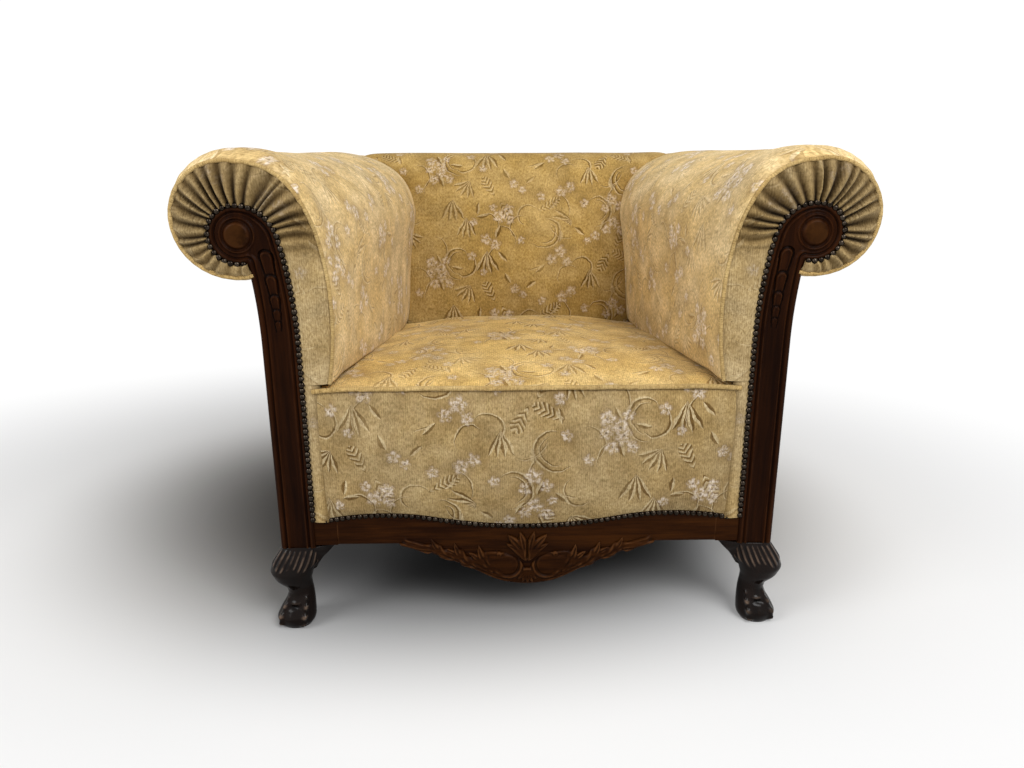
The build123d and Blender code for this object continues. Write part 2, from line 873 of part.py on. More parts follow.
# Frame members and the mortises they need
arm_rail_high = neck_z - fit_gap
arm_rail_low = arm_rail_high - arm_rail_height
arm_rail_thickness = frame_outer - arm_frame_inner
arm_tack_high = arm_foot + tack_rail_height
side_members = [
    (side_rail_inner, side_rail_thickness, frame_low, frame_top),
    (arm_frame_inner, arm_rail_thickness, arm_rail_low, arm_rail_high),
    (arm_frame_inner, arm_rail_thickness, arm_foot, arm_tack_high),
]
side_mortises = Part() + [
    tenon_bar(low, high, x, thickness, fit_gap) for x, thickness, low, high in side_members
]
cross_rails = [
    (frame_low, frame_top),
    (back_tack_low, back_tack_low + tack_rail_height),
    (crest_top - crest_height, crest_top),
]
cross_mortises = Part() + [cross_tenon(low, high, fit_gap) for low, high in cross_rails]

space_half = frame_outer + fit_gap
back_space = leaning(0, crest_top + fit_gap, -fit_gap, chair_width, -space_half, 2 * space_half)
behind = leaning(0, 2 * arm_height, back_post_depth, chair_width, -chair_width, 2 * chair_width)
right_arm = arm_pad(back_space) - behind

nodes = {"front_rail": front_rail()}
nodes["apron_carving"] = apron_carving()
nodes["back_rail"] = cross_member(*cross_rails[0])
nodes["back_tack_rail"] = cross_member(*cross_rails[1])
nodes["crest_rail"] = cross_member(*cross_rails[2])
nodes["back_pad"] = back_pad([right_arm, other_side(right_arm)])
nodes["outside_back"] = outside_back()
nodes["seat_border"] = seat_border()
nodes["seat_pad"] = seat_pad()
nodes["seat_hessian"] = seat_hessian()
nodes["dust_cover"] = dust_cover()
nodes["seat_piping"] = Pos(0, rail_face - piping_radius, seat_height) * Rot(0, 90, 0) * Cylinder(
    piping_radius - fit_gap / 2, 2 * seat_half)

right_pieces = {
    "front_post": front_post(side_mortises + front_tenon(fit_gap)),
    "rail_block": rail_block(),
    "front_foot": front_foot(),
    "back_post": back_post(side_mortises + cross_mortises),
    "side_rail": side_member(*side_members[0]),
    "arm_rail": side_member(*side_members[1]),
    "arm_tack_rail": side_member(*side_members[2]),
    "arm_pad": right_arm,
    "arm_front": arm_front(),
    "arm_piping": arm_piping(),
    "outside_arm": outside_arm(),
}
for name, piece in right_pieces.items():
    nodes[name + "_right"] = piece
    nodes[name + "_left"] = other_side(piece)

nail_start = frame_low + nail_line_end
right_nails = nails_on(Wire(post_curve(nail_start)), 0)
straps = arm_webbing(arm_foot, arm_rail_high)
groups = {
    "corner_blocks": corner_blocks(),
    "seat_webbing": seat_webbing(),
    "seat_springs": seat_springs(),
    "back_webbing": back_webbing(),
    "arm_webbing_right": straps,
    "arm_webbing_left": [other_side(strap) for strap in straps],
    "post_nails_right": right_nails,
    "post_nails_left": [other_side(nail) for nail in right_nails],
    "rail_nails": nails_on(Wire(nail_line(0)), rail_face),
}
for name, pieces in groups.items():
    nodes[name] = Compound(children=[solid for piece in pieces for solid in piece.solids()])

# Move the chair so that its middle is over the origin, and write one file per node
front_end = nodes["front_foot_right"].bounding_box().min.Y
rear_end = nodes["outside_back"].bounding_box().max.Y
to_middle = Pos(0, -(front_end + rear_end) / 2, 0)
os.makedirs("parts", exist_ok=True)
for name, piece in nodes.items():
    export_step(to_middle * piece, "parts/" + name + ".step")
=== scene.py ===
import json
import math

import bmesh
import bpy
import numpy as np
from mathutils import Matrix, Vector

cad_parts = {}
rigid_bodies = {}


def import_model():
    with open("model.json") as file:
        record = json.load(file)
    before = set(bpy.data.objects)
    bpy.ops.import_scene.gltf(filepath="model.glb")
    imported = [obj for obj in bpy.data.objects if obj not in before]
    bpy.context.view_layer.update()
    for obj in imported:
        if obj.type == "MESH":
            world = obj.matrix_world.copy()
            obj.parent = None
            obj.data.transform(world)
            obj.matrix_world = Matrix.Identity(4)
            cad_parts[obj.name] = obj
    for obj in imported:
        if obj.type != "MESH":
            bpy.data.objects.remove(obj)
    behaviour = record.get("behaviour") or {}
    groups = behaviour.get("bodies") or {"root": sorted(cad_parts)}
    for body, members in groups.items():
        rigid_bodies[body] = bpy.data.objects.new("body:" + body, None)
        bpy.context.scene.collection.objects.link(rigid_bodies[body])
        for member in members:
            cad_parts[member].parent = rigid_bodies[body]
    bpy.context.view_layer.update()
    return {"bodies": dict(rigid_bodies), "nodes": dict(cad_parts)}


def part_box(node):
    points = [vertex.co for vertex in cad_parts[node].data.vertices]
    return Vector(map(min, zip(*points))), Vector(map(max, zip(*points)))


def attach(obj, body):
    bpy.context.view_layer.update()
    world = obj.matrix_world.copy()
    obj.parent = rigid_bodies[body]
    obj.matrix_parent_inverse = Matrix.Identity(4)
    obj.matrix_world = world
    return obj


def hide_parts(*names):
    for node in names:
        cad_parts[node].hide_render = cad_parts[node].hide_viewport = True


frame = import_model()
scene = bpy.context.scene
body = list(frame["bodies"])[0]

# Sizes in millimetres, measured from the front face of the posts, as in the CAD part
RAIL_FACE = 3.0
Y0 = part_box("front_rail")[0][1] - RAIL_FACE / 1000
ARM_TOP = 780.0
ROLL_R = 97.0
ROLL = np.array([431.0, 683.0])
ARM_SINK = 6.0
ARM_FOOT = 426.0
ARM_FRONT, ARM_MIDDLE, ARM_REAR, ARM_TUCK = 300.0, 257.0, 234.0, 16.0
POST_IN, POST_OUT, POST_LOW, POST_DEEP = 350.0, 406.0, 146.0, 45.0
SWEEP_Z, SWEEP_R = 488.0, 758.0
SCROLL = np.array([427.0, 656.0])
SCROLL_R, SCROLL_END = 43.0, 105.0
SEAT_HALF, SEAT_EDGE, SEAT_LOW = 335.0, 420.0, 356.0
SEAT_DEPTH = 565.0
BACK_LOW, BACK_LINE, BACK_ROLL = 393.0, 698.0, 79.0
BLOCK_IN = 313.0
FRAME_LOW, FRAME_TOP = 150.1, 253.1
NECK = 594.0
REAR, LEAN = 745.0, math.tan(math.radians(6))
NAIL_R, NAIL_PITCH, NAIL_END = 4.7, 9.5, 42.5
SIDES = ((1, "right"), (-1, "left"))
# Cover of the arm: its first depth, rough length, lip under the piping and rounded front edge
ARM_START, ARM_LONG, ARM_LIP, ARM_ROUND = 1.5, 800.0, 9.0, 26.0
# Arm front: pleats, the turn in degrees where they begin and the inner side of the plain strip
PLEATS, FAN_FROM, STRIP_IN = 24, 191, 322.0
# Scroll of the post: boss, ring round it and how far the flat round them reaches
BOSS_R, RING_R, EYE_R = 20.0, 25.2, 34.0
# Husks on the post: height of the top and half width of each, and where the last one ends
HUSKS, HUSK_END = ((632, 9.5), (596, 8.2), (566, 7.0), (544, 5.8), (526, 4.6)), 512
PUFF_STEPS = 18


def rear_y(z):
    """Depth of the leaning rear plane at height z."""
    return REAR + (z - POST_LOW) * LEAN


# Mesh helpers
def in_row(points):
    """Millimetres from the post face to metres in the row frame."""
    out = np.array(points, float) / 1000
    out[..., 1] += Y0
    return out


def from_row(points):
    """Metres in the row frame to millimetres from the post face."""
    out = np.array(points, float)
    out[..., 1] -= Y0
    return out * 1000


def coords(*parts):
    """Points from their coordinates, which may be single numbers or rows."""
    return np.stack(np.broadcast_arrays(*parts), axis=-1)


def edge_pairs(front, back):
    """The four pairs of edges of two grids."""
    return ((front[0], back[0]), (front[-1], back[-1]),
            (front[:, 0], back[:, 0]), (front[:, -1], back[:, -1]))


class Skin:
    """Grids of points in millimetres that become one mesh; marks above 0 are painted shade, below 0 lighter
    edges that are partly wear and partly painted highlight.
    """

    def __init__(self):
        self.points = []
        self.uvs = []
        self.marks = []
        self.faces = []
        self.count = 0

    def add(self, points, uvs=None, marks=None):
        points = np.asarray(points, float).reshape(-1, 3)
        uvs = points[:, [0, 2]] / 1000 if uvs is None else uvs
        marks = np.zeros(len(points)) if marks is None else marks
        self.points.append(points)
        self.uvs.append(np.asarray(uvs, float).reshape(-1, 2))
        self.marks.append(np.asarray(marks, float).reshape(-1))
        start = self.count
        self.count += len(points)
        return np.arange(start, self.count)

    def grid(self, points, uvs=None, loop=False, keep=None, marks=None):
        rows, cols = points.shape[:2]
        index = self.add(points, uvs, marks).reshape(rows, cols)
        if loop:
            index = np.concatenate([index, index[:, :1]], axis=1)
        quads = coords(index[:-1, :-1], index[:-1, 1:], index[1:, 1:], index[1:, :-1])
        if keep is not None:
            quads = quads[keep]
        self.faces += quads.reshape(-1, 4).tolist()

    def walls(self, front, back):
        """Closes the four sides between two grids."""
        for a, b in edge_pairs(front, back):
            self.grid(np.stack([a, b]))

    def slab(self, front, back, uvs=None):
        """A closed plate between two grids."""
        self.grid(front, uvs)
        self.grid(back, uvs)
        self.walls(front, back)

    def cap(self, ring, uvs=None):
        index = self.add(ring, uvs)
        middle = self.add(np.mean(ring, axis=0)[None], None if uvs is None else np.mean(uvs, axis=0)[None])[0]
        for a, b in zip(index, np.roll(index, -1)):
            self.faces.append((int(a), int(b), int(middle)))

    def tube(self, points, uvs=None, marks=None, cap_uvs=(None, None)):
        """Rings joined in a row, with both ends capped."""
        self.grid(points, uvs, loop=True, marks=marks)
        self.cap(points[0], cap_uvs[0])
        self.cap(points[-1], cap_uvs[1])

    def make(self, name, merge=0.02, outward=True):
        mesh = bpy.data.meshes.new(name)
        mesh.from_pydata(in_row(np.concatenate(self.points)).tolist(), [], self.faces)
        corner = np.empty(len(mesh.loops), np.int32)
        mesh.loops.foreach_get("vertex_index", corner)
        uv = mesh.uv_layers.new(name="cloth")
        uv.data.foreach_set("uv", np.concatenate(self.uvs)[corner].ravel())
        # The marks go to the mesh: painted shade above 0, lighter edges below 0, partly wear and partly
        # painted highlight
        painted_shade_highlight_and_wear = mesh.attributes.new("painted_shade_highlight_and_wear", "FLOAT", "CORNER")
        painted_shade_highlight_and_wear.data.foreach_set("value", np.concatenate(self.marks)[corner])
        bm = bmesh.new()
        bm.from_mesh(mesh)
        bmesh.ops.remove_doubles(bm, verts=bm.verts, dist=merge / 1000)
        bmesh.ops.delete(bm, geom=[v for v in bm.verts if not v.link_faces], context="VERTS")
        if outward:
            bmesh.ops.recalc_face_normals(bm, faces=bm.faces)
        for face in bm.faces:
            face.smooth = True
        bm.to_mesh(mesh)
        bm.free()
        obj = bpy.data.objects.new(name, mesh)
        scene.collection.objects.link(obj)
        return obj


def points_of(obj):
    """Vertices of a mesh object in millimetres from the post face."""
    flat = np.empty(len(obj.data.vertices) * 3)
    obj.data.vertices.foreach_get("co", flat)
    return from_row(flat.reshape(-1, 3))


def set_points(obj, points):
    """Puts vertices back, given in millimetres from the post face."""
    obj.data.vertices.foreach_set("co", in_row(points).ravel())
    obj.data.update()


def normals_of(obj):
    flat = np.empty(len(obj.data.vertices) * 3)
    obj.data.vertices.foreach_get("normal", flat)
    return flat.reshape(-1, 3)


def to_side(obj, side):
    """Mirrors a piece made for the right when side is -1."""
    if side < 0:
        here = points_of(obj)
        here[:, 0] *= -1
        set_points(obj, here)
        obj.data.flip_normals()


def finish_piece(obj, material, slot, *nodes, fill=None, smooth=0):
    """Gives a piece its material, body and CAD nodes; the record slot is not used."""
    obj.data.materials.append(material)
    if smooth:
        sub = obj.modifiers.new("smooth", "SUBSURF")
        sub.levels = smooth
        sub.render_levels = smooth
    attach(obj, body)
    if nodes:
        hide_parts(*nodes)
    return obj


def puff(obj, pinned, pressure, cap):
    """Swells a closed pad by cloth pressure with its seams pinned; no point moves more than cap."""
    before = points_of(obj)
    group = obj.vertex_groups.new(name="seams")
    group.add([int(i) for i in np.nonzero(pinned)[0]], 1.0, "ADD")
    cloth = obj.modifiers.new("puff", "CLOTH")
    settings = {"quality": 5, "mass": 0.3, "tension_stiffness": 30, "compression_stiffness": 30,
                "shear_stiffness": 10, "bending_stiffness": 2, "use_pressure": True,
                "uniform_pressure_force": pressure, "vertex_group_mass": "seams"}
    for key, value in settings.items():
        setattr(cloth.settings, key, value)
    cloth.settings.effector_weights.gravity = 0
    cloth.collision_settings.use_collision = False
    for step in range(1, PUFF_STEPS + 1):
        scene.frame_set(step)
    shown = obj.evaluated_get(bpy.context.evaluated_depsgraph_get())
    flat = np.empty(len(shown.data.vertices) * 3)
    shown.data.vertices.foreach_get("co", flat)
    after = from_row(flat.reshape(-1, 3))
    obj.modifiers.remove(cloth)
    obj.vertex_groups.remove(group)
    scene.frame_set(1)
    move = after - before
    size = np.linalg.norm(move, axis=1, keepdims=True)
    set_points(obj, before + move * np.minimum(1, cap / np.maximum(size, 1e-6)))


def smooth_noise(points, scale, seed):
    """Soft noise from a few seeded plane waves, about -1 to 1."""
    local = np.random.default_rng(seed)
    total = np.zeros(points.shape[:-1])
    for _ in range(9):
        way = local.normal(size=3)
        way /= np.linalg.norm(way)
        pace = 2 * math.pi / scale * local.uniform(0.6, 1.7)
        total += np.sin(points @ way * pace + local.uniform(0, 6.3))
    return total / 4.5


def unit(value):
    """Value kept between 0 and 1."""
    return np.clip(value, 0, 1)


def ease(value, low, high):
    """Smooth step from 0 at low to 1 at high."""
    t = unit((value - low) / (high - low))
    return t * t * (3 - 2 * t)


def hump(value, middle, half):
    return np.clip(1 - ((value - middle) / half) ** 2, 0, None)


def bell(value, middle, width):
    return np.exp(-((value - middle) / width) ** 2)


# Plane curves
def tangent_arc(start, tangent, end, count):
    """Points of the arc from start to end that leaves along tangent, and its last tangent."""
    start = np.asarray(start, float)
    end = np.asarray(end, float)
    t = np.asarray(tangent, float) / np.linalg.norm(tangent)
    n = np.array([-t[1], t[0]])
    chord = end - start
    half = math.atan2(chord @ n, chord @ t)
    share = np.linspace(0, 1, count)[:, None]
    if abs(half) < 1e-6:
        return start + chord * share, t
    radius = np.linalg.norm(chord) / (2 * math.sin(half))
    turn = 2 * half * share
    points = start + radius * (np.sin(turn) * t + (1 - np.cos(turn)) * n)
    return points, math.cos(2 * half) * t + math.sin(2 * half) * n


def circle(centre, radius, first, last, count):
    turn = np.radians(np.linspace(first, last, count))
    return np.asarray(centre) + radius * coords(np.cos(turn), np.sin(turn))


def chain(*parts):
    """Joins point lists that share their ends."""
    return np.concatenate([parts[0]] + [part[1:] for part in parts[1:]])


def lengths(points):
    steps = np.linalg.norm(np.diff(points, axis=0), axis=1)
    return np.concatenate([[0], np.cumsum(steps)])


def line_at(want, along, points):
    """Points of a line at given places along it."""
    return coords(*(np.interp(want, along, column) for column in points.T))


def resample(points, count):
    along = lengths(points)
    return line_at(np.linspace(0, along[-1], count), along, points)


def side_normals(points):
    """Left-hand normals of a line of points."""
    along = np.gradient(points, axis=0)
    along /= np.linalg.norm(along, axis=1, keepdims=True)
    return coords(-along[:, 1], along[:, 0])


def arm_outline(inner, tuck, sink=0.0):
    """Arm section from the neck round the roll, over the top and down the inner face."""
    radius = ROLL_R - sink
    aside = POST_OUT - ROLL[0]
    neck = math.degrees(math.atan2(-math.sqrt(radius**2 - aside**2), aside))
    roll = circle(ROLL, radius, neck, 90, 50)
    shoulder = min(inner + 150, ROLL[0] - 17)
    crest = ARM_TOP - sink
    brow = [inner + 24, ROLL[1] + 40 - sink / 2]
    flank = [inner, ROLL[1] - 35]
    top = np.linspace([ROLL[0], crest], [shoulder, crest], 8)
    first, way = tangent_arc([shoulder, crest], [-1, 0], brow, 18)
    second, way = tangent_arc(brow, way, flank, 12)
    third = tangent_arc(flank, way, [inner + tuck, ARM_FOOT], 30)[0]
    return chain(roll, top, first, second, third)


def arm_inner(y):
    """Inner face of the arm at depth y, and how far its foot draws back."""
    t = (np.clip(y, POST_DEEP, SEAT_DEPTH) - POST_DEEP) / (SEAT_DEPTH - POST_DEEP)
    a = 2 * (ARM_FRONT + ARM_REAR - 2 * ARM_MIDDLE)
    b = ARM_REAR - ARM_FRONT - a
    return float(ARM_FRONT + b * t + a * t * t), float(ARM_TUCK * t)


def facing_inset(line):
    """How far the seam of the arm front lies inside the arm outline, widest over the top."""
    turn = np.degrees(np.arctan2(line[:, 1] - SCROLL[1], line[:, 0] - SCROLL[0]))
    turn = np.where(turn < -120, turn + 360, turn)
    turns = [-100, -60, 0, 35, 65, 90, 125, 150, 180, 215]
    inset = np.interp(turn, turns, [8, 7, 6, 9, 15, 20, 22, 15, 8, 5.7])
    return np.convolve(np.pad(inset, 8, mode="edge"), np.ones(17) / 17, "valid")


def post_edges(base):
    """Inner edge of the right post: stem and sweep, then the turn and the scroll."""
    centre = np.array([POST_IN + SWEEP_R, SWEEP_Z])
    top = SCROLL + [0, SCROLL_R]
    across = SCROLL[0] - centre[0]
    rise = top[1] - SWEEP_Z
    volute = (SWEEP_R**2 - across**2 - rise**2) / (2 * (SWEEP_R - rise))
    way = top - [0, volute] - centre
    meeting = centre + way / np.linalg.norm(way) * SWEEP_R
    stem = np.linspace([POST_IN, base], [POST_IN, SWEEP_Z], 60)
    sweep, along = tangent_arc([POST_IN, SWEEP_Z], [0, 1], meeting, 40)
    turn = tangent_arc(meeting, along, top, 26)[0]
    scroll = circle(SCROLL, SCROLL_R, 90, -SCROLL_END, 60)
    return chain(stem, sweep), chain(turn, scroll)


# Shader helpers
class Nodes:
    """Short names for building a node tree."""

    def __init__(self, tree):
        self.tree = tree

    def put(self, kind, inputs=None, **settings):
        node = self.tree.nodes.new(kind)
        for key, value in settings.items():
            setattr(node, key, value)
        self.fill(node, inputs or {})
        return node

    def fill(self, node, inputs):
        for key, value in inputs.items():
            self.feed(node.inputs[key], value)

    def feed(self, socket, value):
        if isinstance(value, bpy.types.NodeSocket):
            self.tree.links.new(value, socket)
        else:
            socket.default_value = value

    def math(self, operation, a, b=None, c=None):
        given = {i: value for i, value in enumerate((a, b, c)) if value is not None}
        return self.put("ShaderNodeMath", given, operation=operation).outputs[0]

    def times(self, *values):
        total = values[0]
        for value in values[1:]:
            total = self.math("MULTIPLY", total, value)
        return total

    def mul_add(self, a, b, c):
        return self.math("MULTIPLY_ADD", a, b, c)

    def vector(self, operation, a, b=None):
        node = self.put("ShaderNodeVectorMath", {0: a} if b is None else {0: a, 1: b}, operation=operation)
        return node.outputs["Value" if operation == "LENGTH" else "Vector"]

    def step(self, value, low, high):
        node = self.put("ShaderNodeMapRange", {0: value, 1: low, 2: high}, interpolation_type="SMOOTHSTEP")
        return node.outputs[0]

    def mix(self, factor, a, b, mode="MIX"):
        node = self.put("ShaderNodeMix", data_type="RGBA", blend_type=mode)
        for index, value in ((0, factor), (6, a), (7, b)):
            self.feed(node.inputs[index], (*value, 1) if isinstance(value, tuple) else value)
        return node.outputs[2]

    def noise(self, vector, scale, detail=3, rough=0.5):
        return self.put("ShaderNodeTexNoise", {"Vector": vector, "Scale": scale, "Detail": detail,
                                               "Roughness": rough}).outputs["Fac"]

    def scaled(self, vector, x, y, z):
        return self.vector("MULTIPLY", vector, (x, y, z))

    def parts(self, vector):
        node = self.put("ShaderNodeSeparateXYZ", {"Vector": vector})
        return node.outputs[0], node.outputs[1]

    def bump(self, height, strength, distance):
        node = self.put("ShaderNodeBump", {"Height": height, "Strength": strength, "Distance": distance})
        return node.outputs["Normal"]

    def place(self):
        return self.put("ShaderNodeTexCoord").outputs["Object"]

    def edges(self):
        return self.put("ShaderNodeNewGeometry").outputs["Pointiness"]

    def mark(self):
        # Marks of the mesh: painted shade above 0, lighter edges below 0, partly wear and partly painted
        # highlight
        return self.put("ShaderNodeAttribute", attribute_name="painted_shade_highlight_and_wear").outputs["Fac"]


def toned(colour, share):
    return tuple(c * share for c in colour)


def new_material(name):
    material = bpy.data.materials.new(name)
    material.use_nodes = True
    material.node_tree.nodes.clear()
    n = Nodes(material.node_tree)
    shader = n.put("ShaderNodeBsdfPrincipled")
    n.put("ShaderNodeOutputMaterial", {0: shader.outputs[0]})
    return material, n, shader


class Motifs(Nodes):
    """Plane motifs; a value is 0 in the middle of a motif and 1 on its outline."""

    def turned(self, p, at, turn):
        moved = self.vector("SUBTRACT", p, (*at, 0))
        node = self.put("ShaderNodeVectorRotate", {"Vector": moved, "Angle": math.radians(-turn)},
                        rotation_type="Z_AXIS")
        return node.outputs[0]

    def polar(self, p):
        x, y = self.parts(p)
        return self.vector("LENGTH", p), self.math("ARCTAN2", y, x)

    def flower(self, p, at, radius, turn):
        r, angle = self.polar(self.turned(p, at, turn))
        wave = self.math("ABSOLUTE", self.math("COSINE", self.times(angle, 2.5)))
        reach = self.mul_add(self.math("POWER", wave, 0.55), 0.46 * radius, 0.54 * radius)
        return self.math("DIVIDE", r, reach), r

    def pointed(self, t, width):
        """Half width of a leaf at a share t of its length."""
        full = self.times(t, self.math("SUBTRACT", 1.0, t))
        return self.math("MAXIMUM", self.times(full, 2.0 * width), 0.01)

    def lens(self, p, tail, turn, length, width):
        x, y = self.parts(self.turned(p, tail, turn))
        half = self.pointed(self.times(x, 1 / length), width)
        return self.math("DIVIDE", self.math("ABSOLUTE", y), half), y

    def fan(self, p, at, turn, spread, count, length, width):
        r, angle = self.polar(self.turned(p, at, turn))
        step = math.radians(spread / count)
        place = self.mul_add(angle, 1 / step, count / 2)
        outside = self.math("GREATER_THAN", self.math("ABSOLUTE", angle), step * count / 2)
        part = self.math("SUBTRACT", self.math("FRACT", place), 0.5)
        aside = self.times(self.math("ABSOLUTE", part), step, r)
        half = self.pointed(self.times(r, 1 / length), width)
        return self.mul_add(outside, 9.0, self.math("DIVIDE", aside, half)), part

    def frond(self, p, tail, turn, length, width, pitch):
        x, y = self.parts(self.turned(p, tail, turn))
        y = self.math("ABSOLUTE", y)
        base = self.mul_add(y, -0.8, x)
        half = self.pointed(self.times(base, 1 / length), 2 * width)
        row = self.math("SUBTRACT", self.math("FRACT", self.times(base, 1 / pitch)), 0.5)
        reach = self.math("POWER", self.math("DIVIDE", y, half), 4.0)
        return self.math("MAXIMUM", reach, self.times(self.math("ABSOLUTE", row), 2.6)), row

    def scroll(self, p, at, turn, radius, half_angle, width, spiral):
        r, angle = self.polar(self.turned(p, at, turn))
        share = self.times(angle, 1 / math.radians(half_angle))
        off = self.math("SUBTRACT", r, self.mul_add(share, spiral, radius))
        thin = self.math("SUBTRACT", 1.0, self.times(share, share))
        half = self.math("MAXIMUM", self.times(thin, width / 2), 0.01)
        return self.math("DIVIDE", self.math("ABSOLUTE", off), half), off

    def least(self, total, value):
        return value if total is None else self.math("MINIMUM", total, value)

    def after(self, p, total):
        """The same place, worked out only when total is known, so that the shader stays small."""
        return p if total is None else self.vector("ADD", p, self.times(total, 1e-6))


def floral_group():
    """Traditional scattered floral in a half-drop repeat: flowers, their eyes, and leaves in two halves."""
    tree = bpy.data.node_groups.new("floral_weave", "ShaderNodeTree")
    tree.interface.new_socket("UV", in_out="INPUT", socket_type="NodeSocketVector")
    for name in ("Flower", "Eye", "Dark", "Light"):
        tree.interface.new_socket(name, in_out="OUTPUT", socket_type="NodeSocketFloat")
    m = Motifs(tree)
    start = m.put("NodeGroupInput").outputs[0]
    wobble = m.put("ShaderNodeTexNoise", {"Vector": start, "Scale": 48.0, "Detail": 2.0}).outputs["Color"]
    shake = m.scaled(m.vector("SUBTRACT", wobble, (0.5, 0.5, 0.5)), 0.008, 0.008, 0)
    moved = m.vector("ADD", start, shake)
    wide, tall = 0.262, 0.236

    def cell(shift_u, shift_v):
        """Local millimetres in a half-drop cell; every second column is turned over."""
        u, v = m.parts(moved)
        u = m.mul_add(u, 1 / wide, shift_u)
        odd = m.math("MODULO", m.math("ABSOLUTE", m.math("FLOOR", u)), 2.0)
        v = m.math("ADD", m.mul_add(v, 1 / tall, shift_v), m.times(odd, 0.5))
        x = m.times(m.math("SUBTRACT", m.math("FRACT", u), 0.5), wide * 1000)
        y = m.times(m.math("SUBTRACT", m.math("FRACT", v), 0.5), tall * 1000)
        x = m.times(x, m.mul_add(odd, -2.0, 1.0))
        return m.put("ShaderNodeCombineXYZ", {"X": x, "Y": y}).outputs[0]

    p = cell(0.0, 0.0)
    q = cell(0.5, 0.25)
    r = cell(0.27, 0.62)
    flowers = [
        (p, (44, 52), 12, 10), (p, (64, 38), 13, 40), (p, (42, 30), 10, 0), (p, (78, 58), 9, 25),
        (p, (-72, -42), 13, 30), (p, (-52, -58), 11, 5), (p, (-86, -64), 10, 50), (p, (16, -16), 9, 15),
        (q, (-56, 34), 12, 20), (q, (-36, 46), 11, 45), (q, (62, -36), 13, 0), (q, (46, -52), 10, 30),
        (q, (80, -54), 11, 60), (q, (-4, 8), 9, 25), (p, (-30, 84), 9, 12),
        (r, (-40, 22), 10, 20), (r, (-58, 10), 8, 50), (r, (52, -64), 9, 5), (r, (30, 60), 8, 30),
    ]
    leaves = [
        (m.frond, p, (-22, 50), 152, 58, 11, 8), (m.frond, p, (-18, 56), 96, 46, 10, 8),
        (m.frond, p, (30, -40), -24, 60, 11, 8), (m.fan, p, (-6, -50), -95, 150, 7, 46, 8),
        (m.frond, q, (22, 32), 28, 58, 11, 8), (m.fan, q, (-32, -32), 200, 130, 6, 48, 9),
        (m.lens, p, (62, 18), -70, 30, 11), (m.lens, p, (88, 42), -8, 28, 10),
        (m.lens, p, (-70, -22), 100, 30, 11), (m.lens, q, (-64, 18), 230, 30, 11),
        (m.lens, q, (64, -16), 70, 30, 11), (m.lens, p, (-38, -70), -40, 30, 10),
        (m.fan, p, (92, -40), -90, 80, 4, 52, 11), (m.fan, q, (8, 96), -90, 70, 4, 48, 10),
        (m.scroll, p, (-38, 6), 200, 34, 118, 7, 7), (m.scroll, p, (-38, 6), 206, 25, 92, 5, 5),
        (m.scroll, p, (10, 16), 20, 29, 80, 4.6, -6), (m.scroll, q, (24, -4), 20, 32, 122, 7, -8),
        (m.scroll, q, (24, -4), 10, 24, 95, 5, -5), (m.scroll, q, (-36, 80), 130, 26, 84, 4.6, 5),
        (m.scroll, p, (66, -20), 140, 37, 56, 4, 0), (m.scroll, p, (-86, 26), -60, 38, 52, 4, 0),
        (m.scroll, q, (-80, -8), 20, 42, 50, 4, 0), (m.scroll, q, (90, 18), 160, 38, 54, 4, 0),
        (m.frond, r, (4, -6), 60, 52, 12, 9), (m.frond, r, (-8, -16), -120, 50, 12, 9),
        (m.fan, r, (60, 30), -60, 110, 5, 40, 9), (m.scroll, r, (-70, -54), 40, 24, 110, 6, 6),
        (m.scroll, r, (76, 74), 220, 26, 100, 6, -5), (m.lens, r, (-30, 34), 60, 28, 11),
        (m.lens, r, (-66, 24), 140, 26, 10), (m.lens, r, (44, -46), 100, 28, 10),
    ]
    total, eyes = None, None
    for plane, at, radius, turn in flowers:
        value, out_from = m.flower(m.after(plane, total), at, radius * 1.22, turn)
        total = m.least(total, value)
        eyes = m.least(eyes, m.times(out_from, 12 / radius))
    dark, light, done = None, None, total
    for draw, plane, *sizes in leaves:
        value, across = draw(m.after(plane, done), *sizes)
        half = m.math("GREATER_THAN", across, 0.0)
        dark = m.least(dark, m.mul_add(half, 5.0, value))
        light = m.least(light, m.mul_add(half, -5.0, m.math("ADD", value, 5.0)))
        done = m.math("ADD", dark, light)
    m.put("NodeGroupOutput", {"Flower": total, "Eye": eyes, "Dark": dark, "Light": light})
    return tree


FLORAL = floral_group()


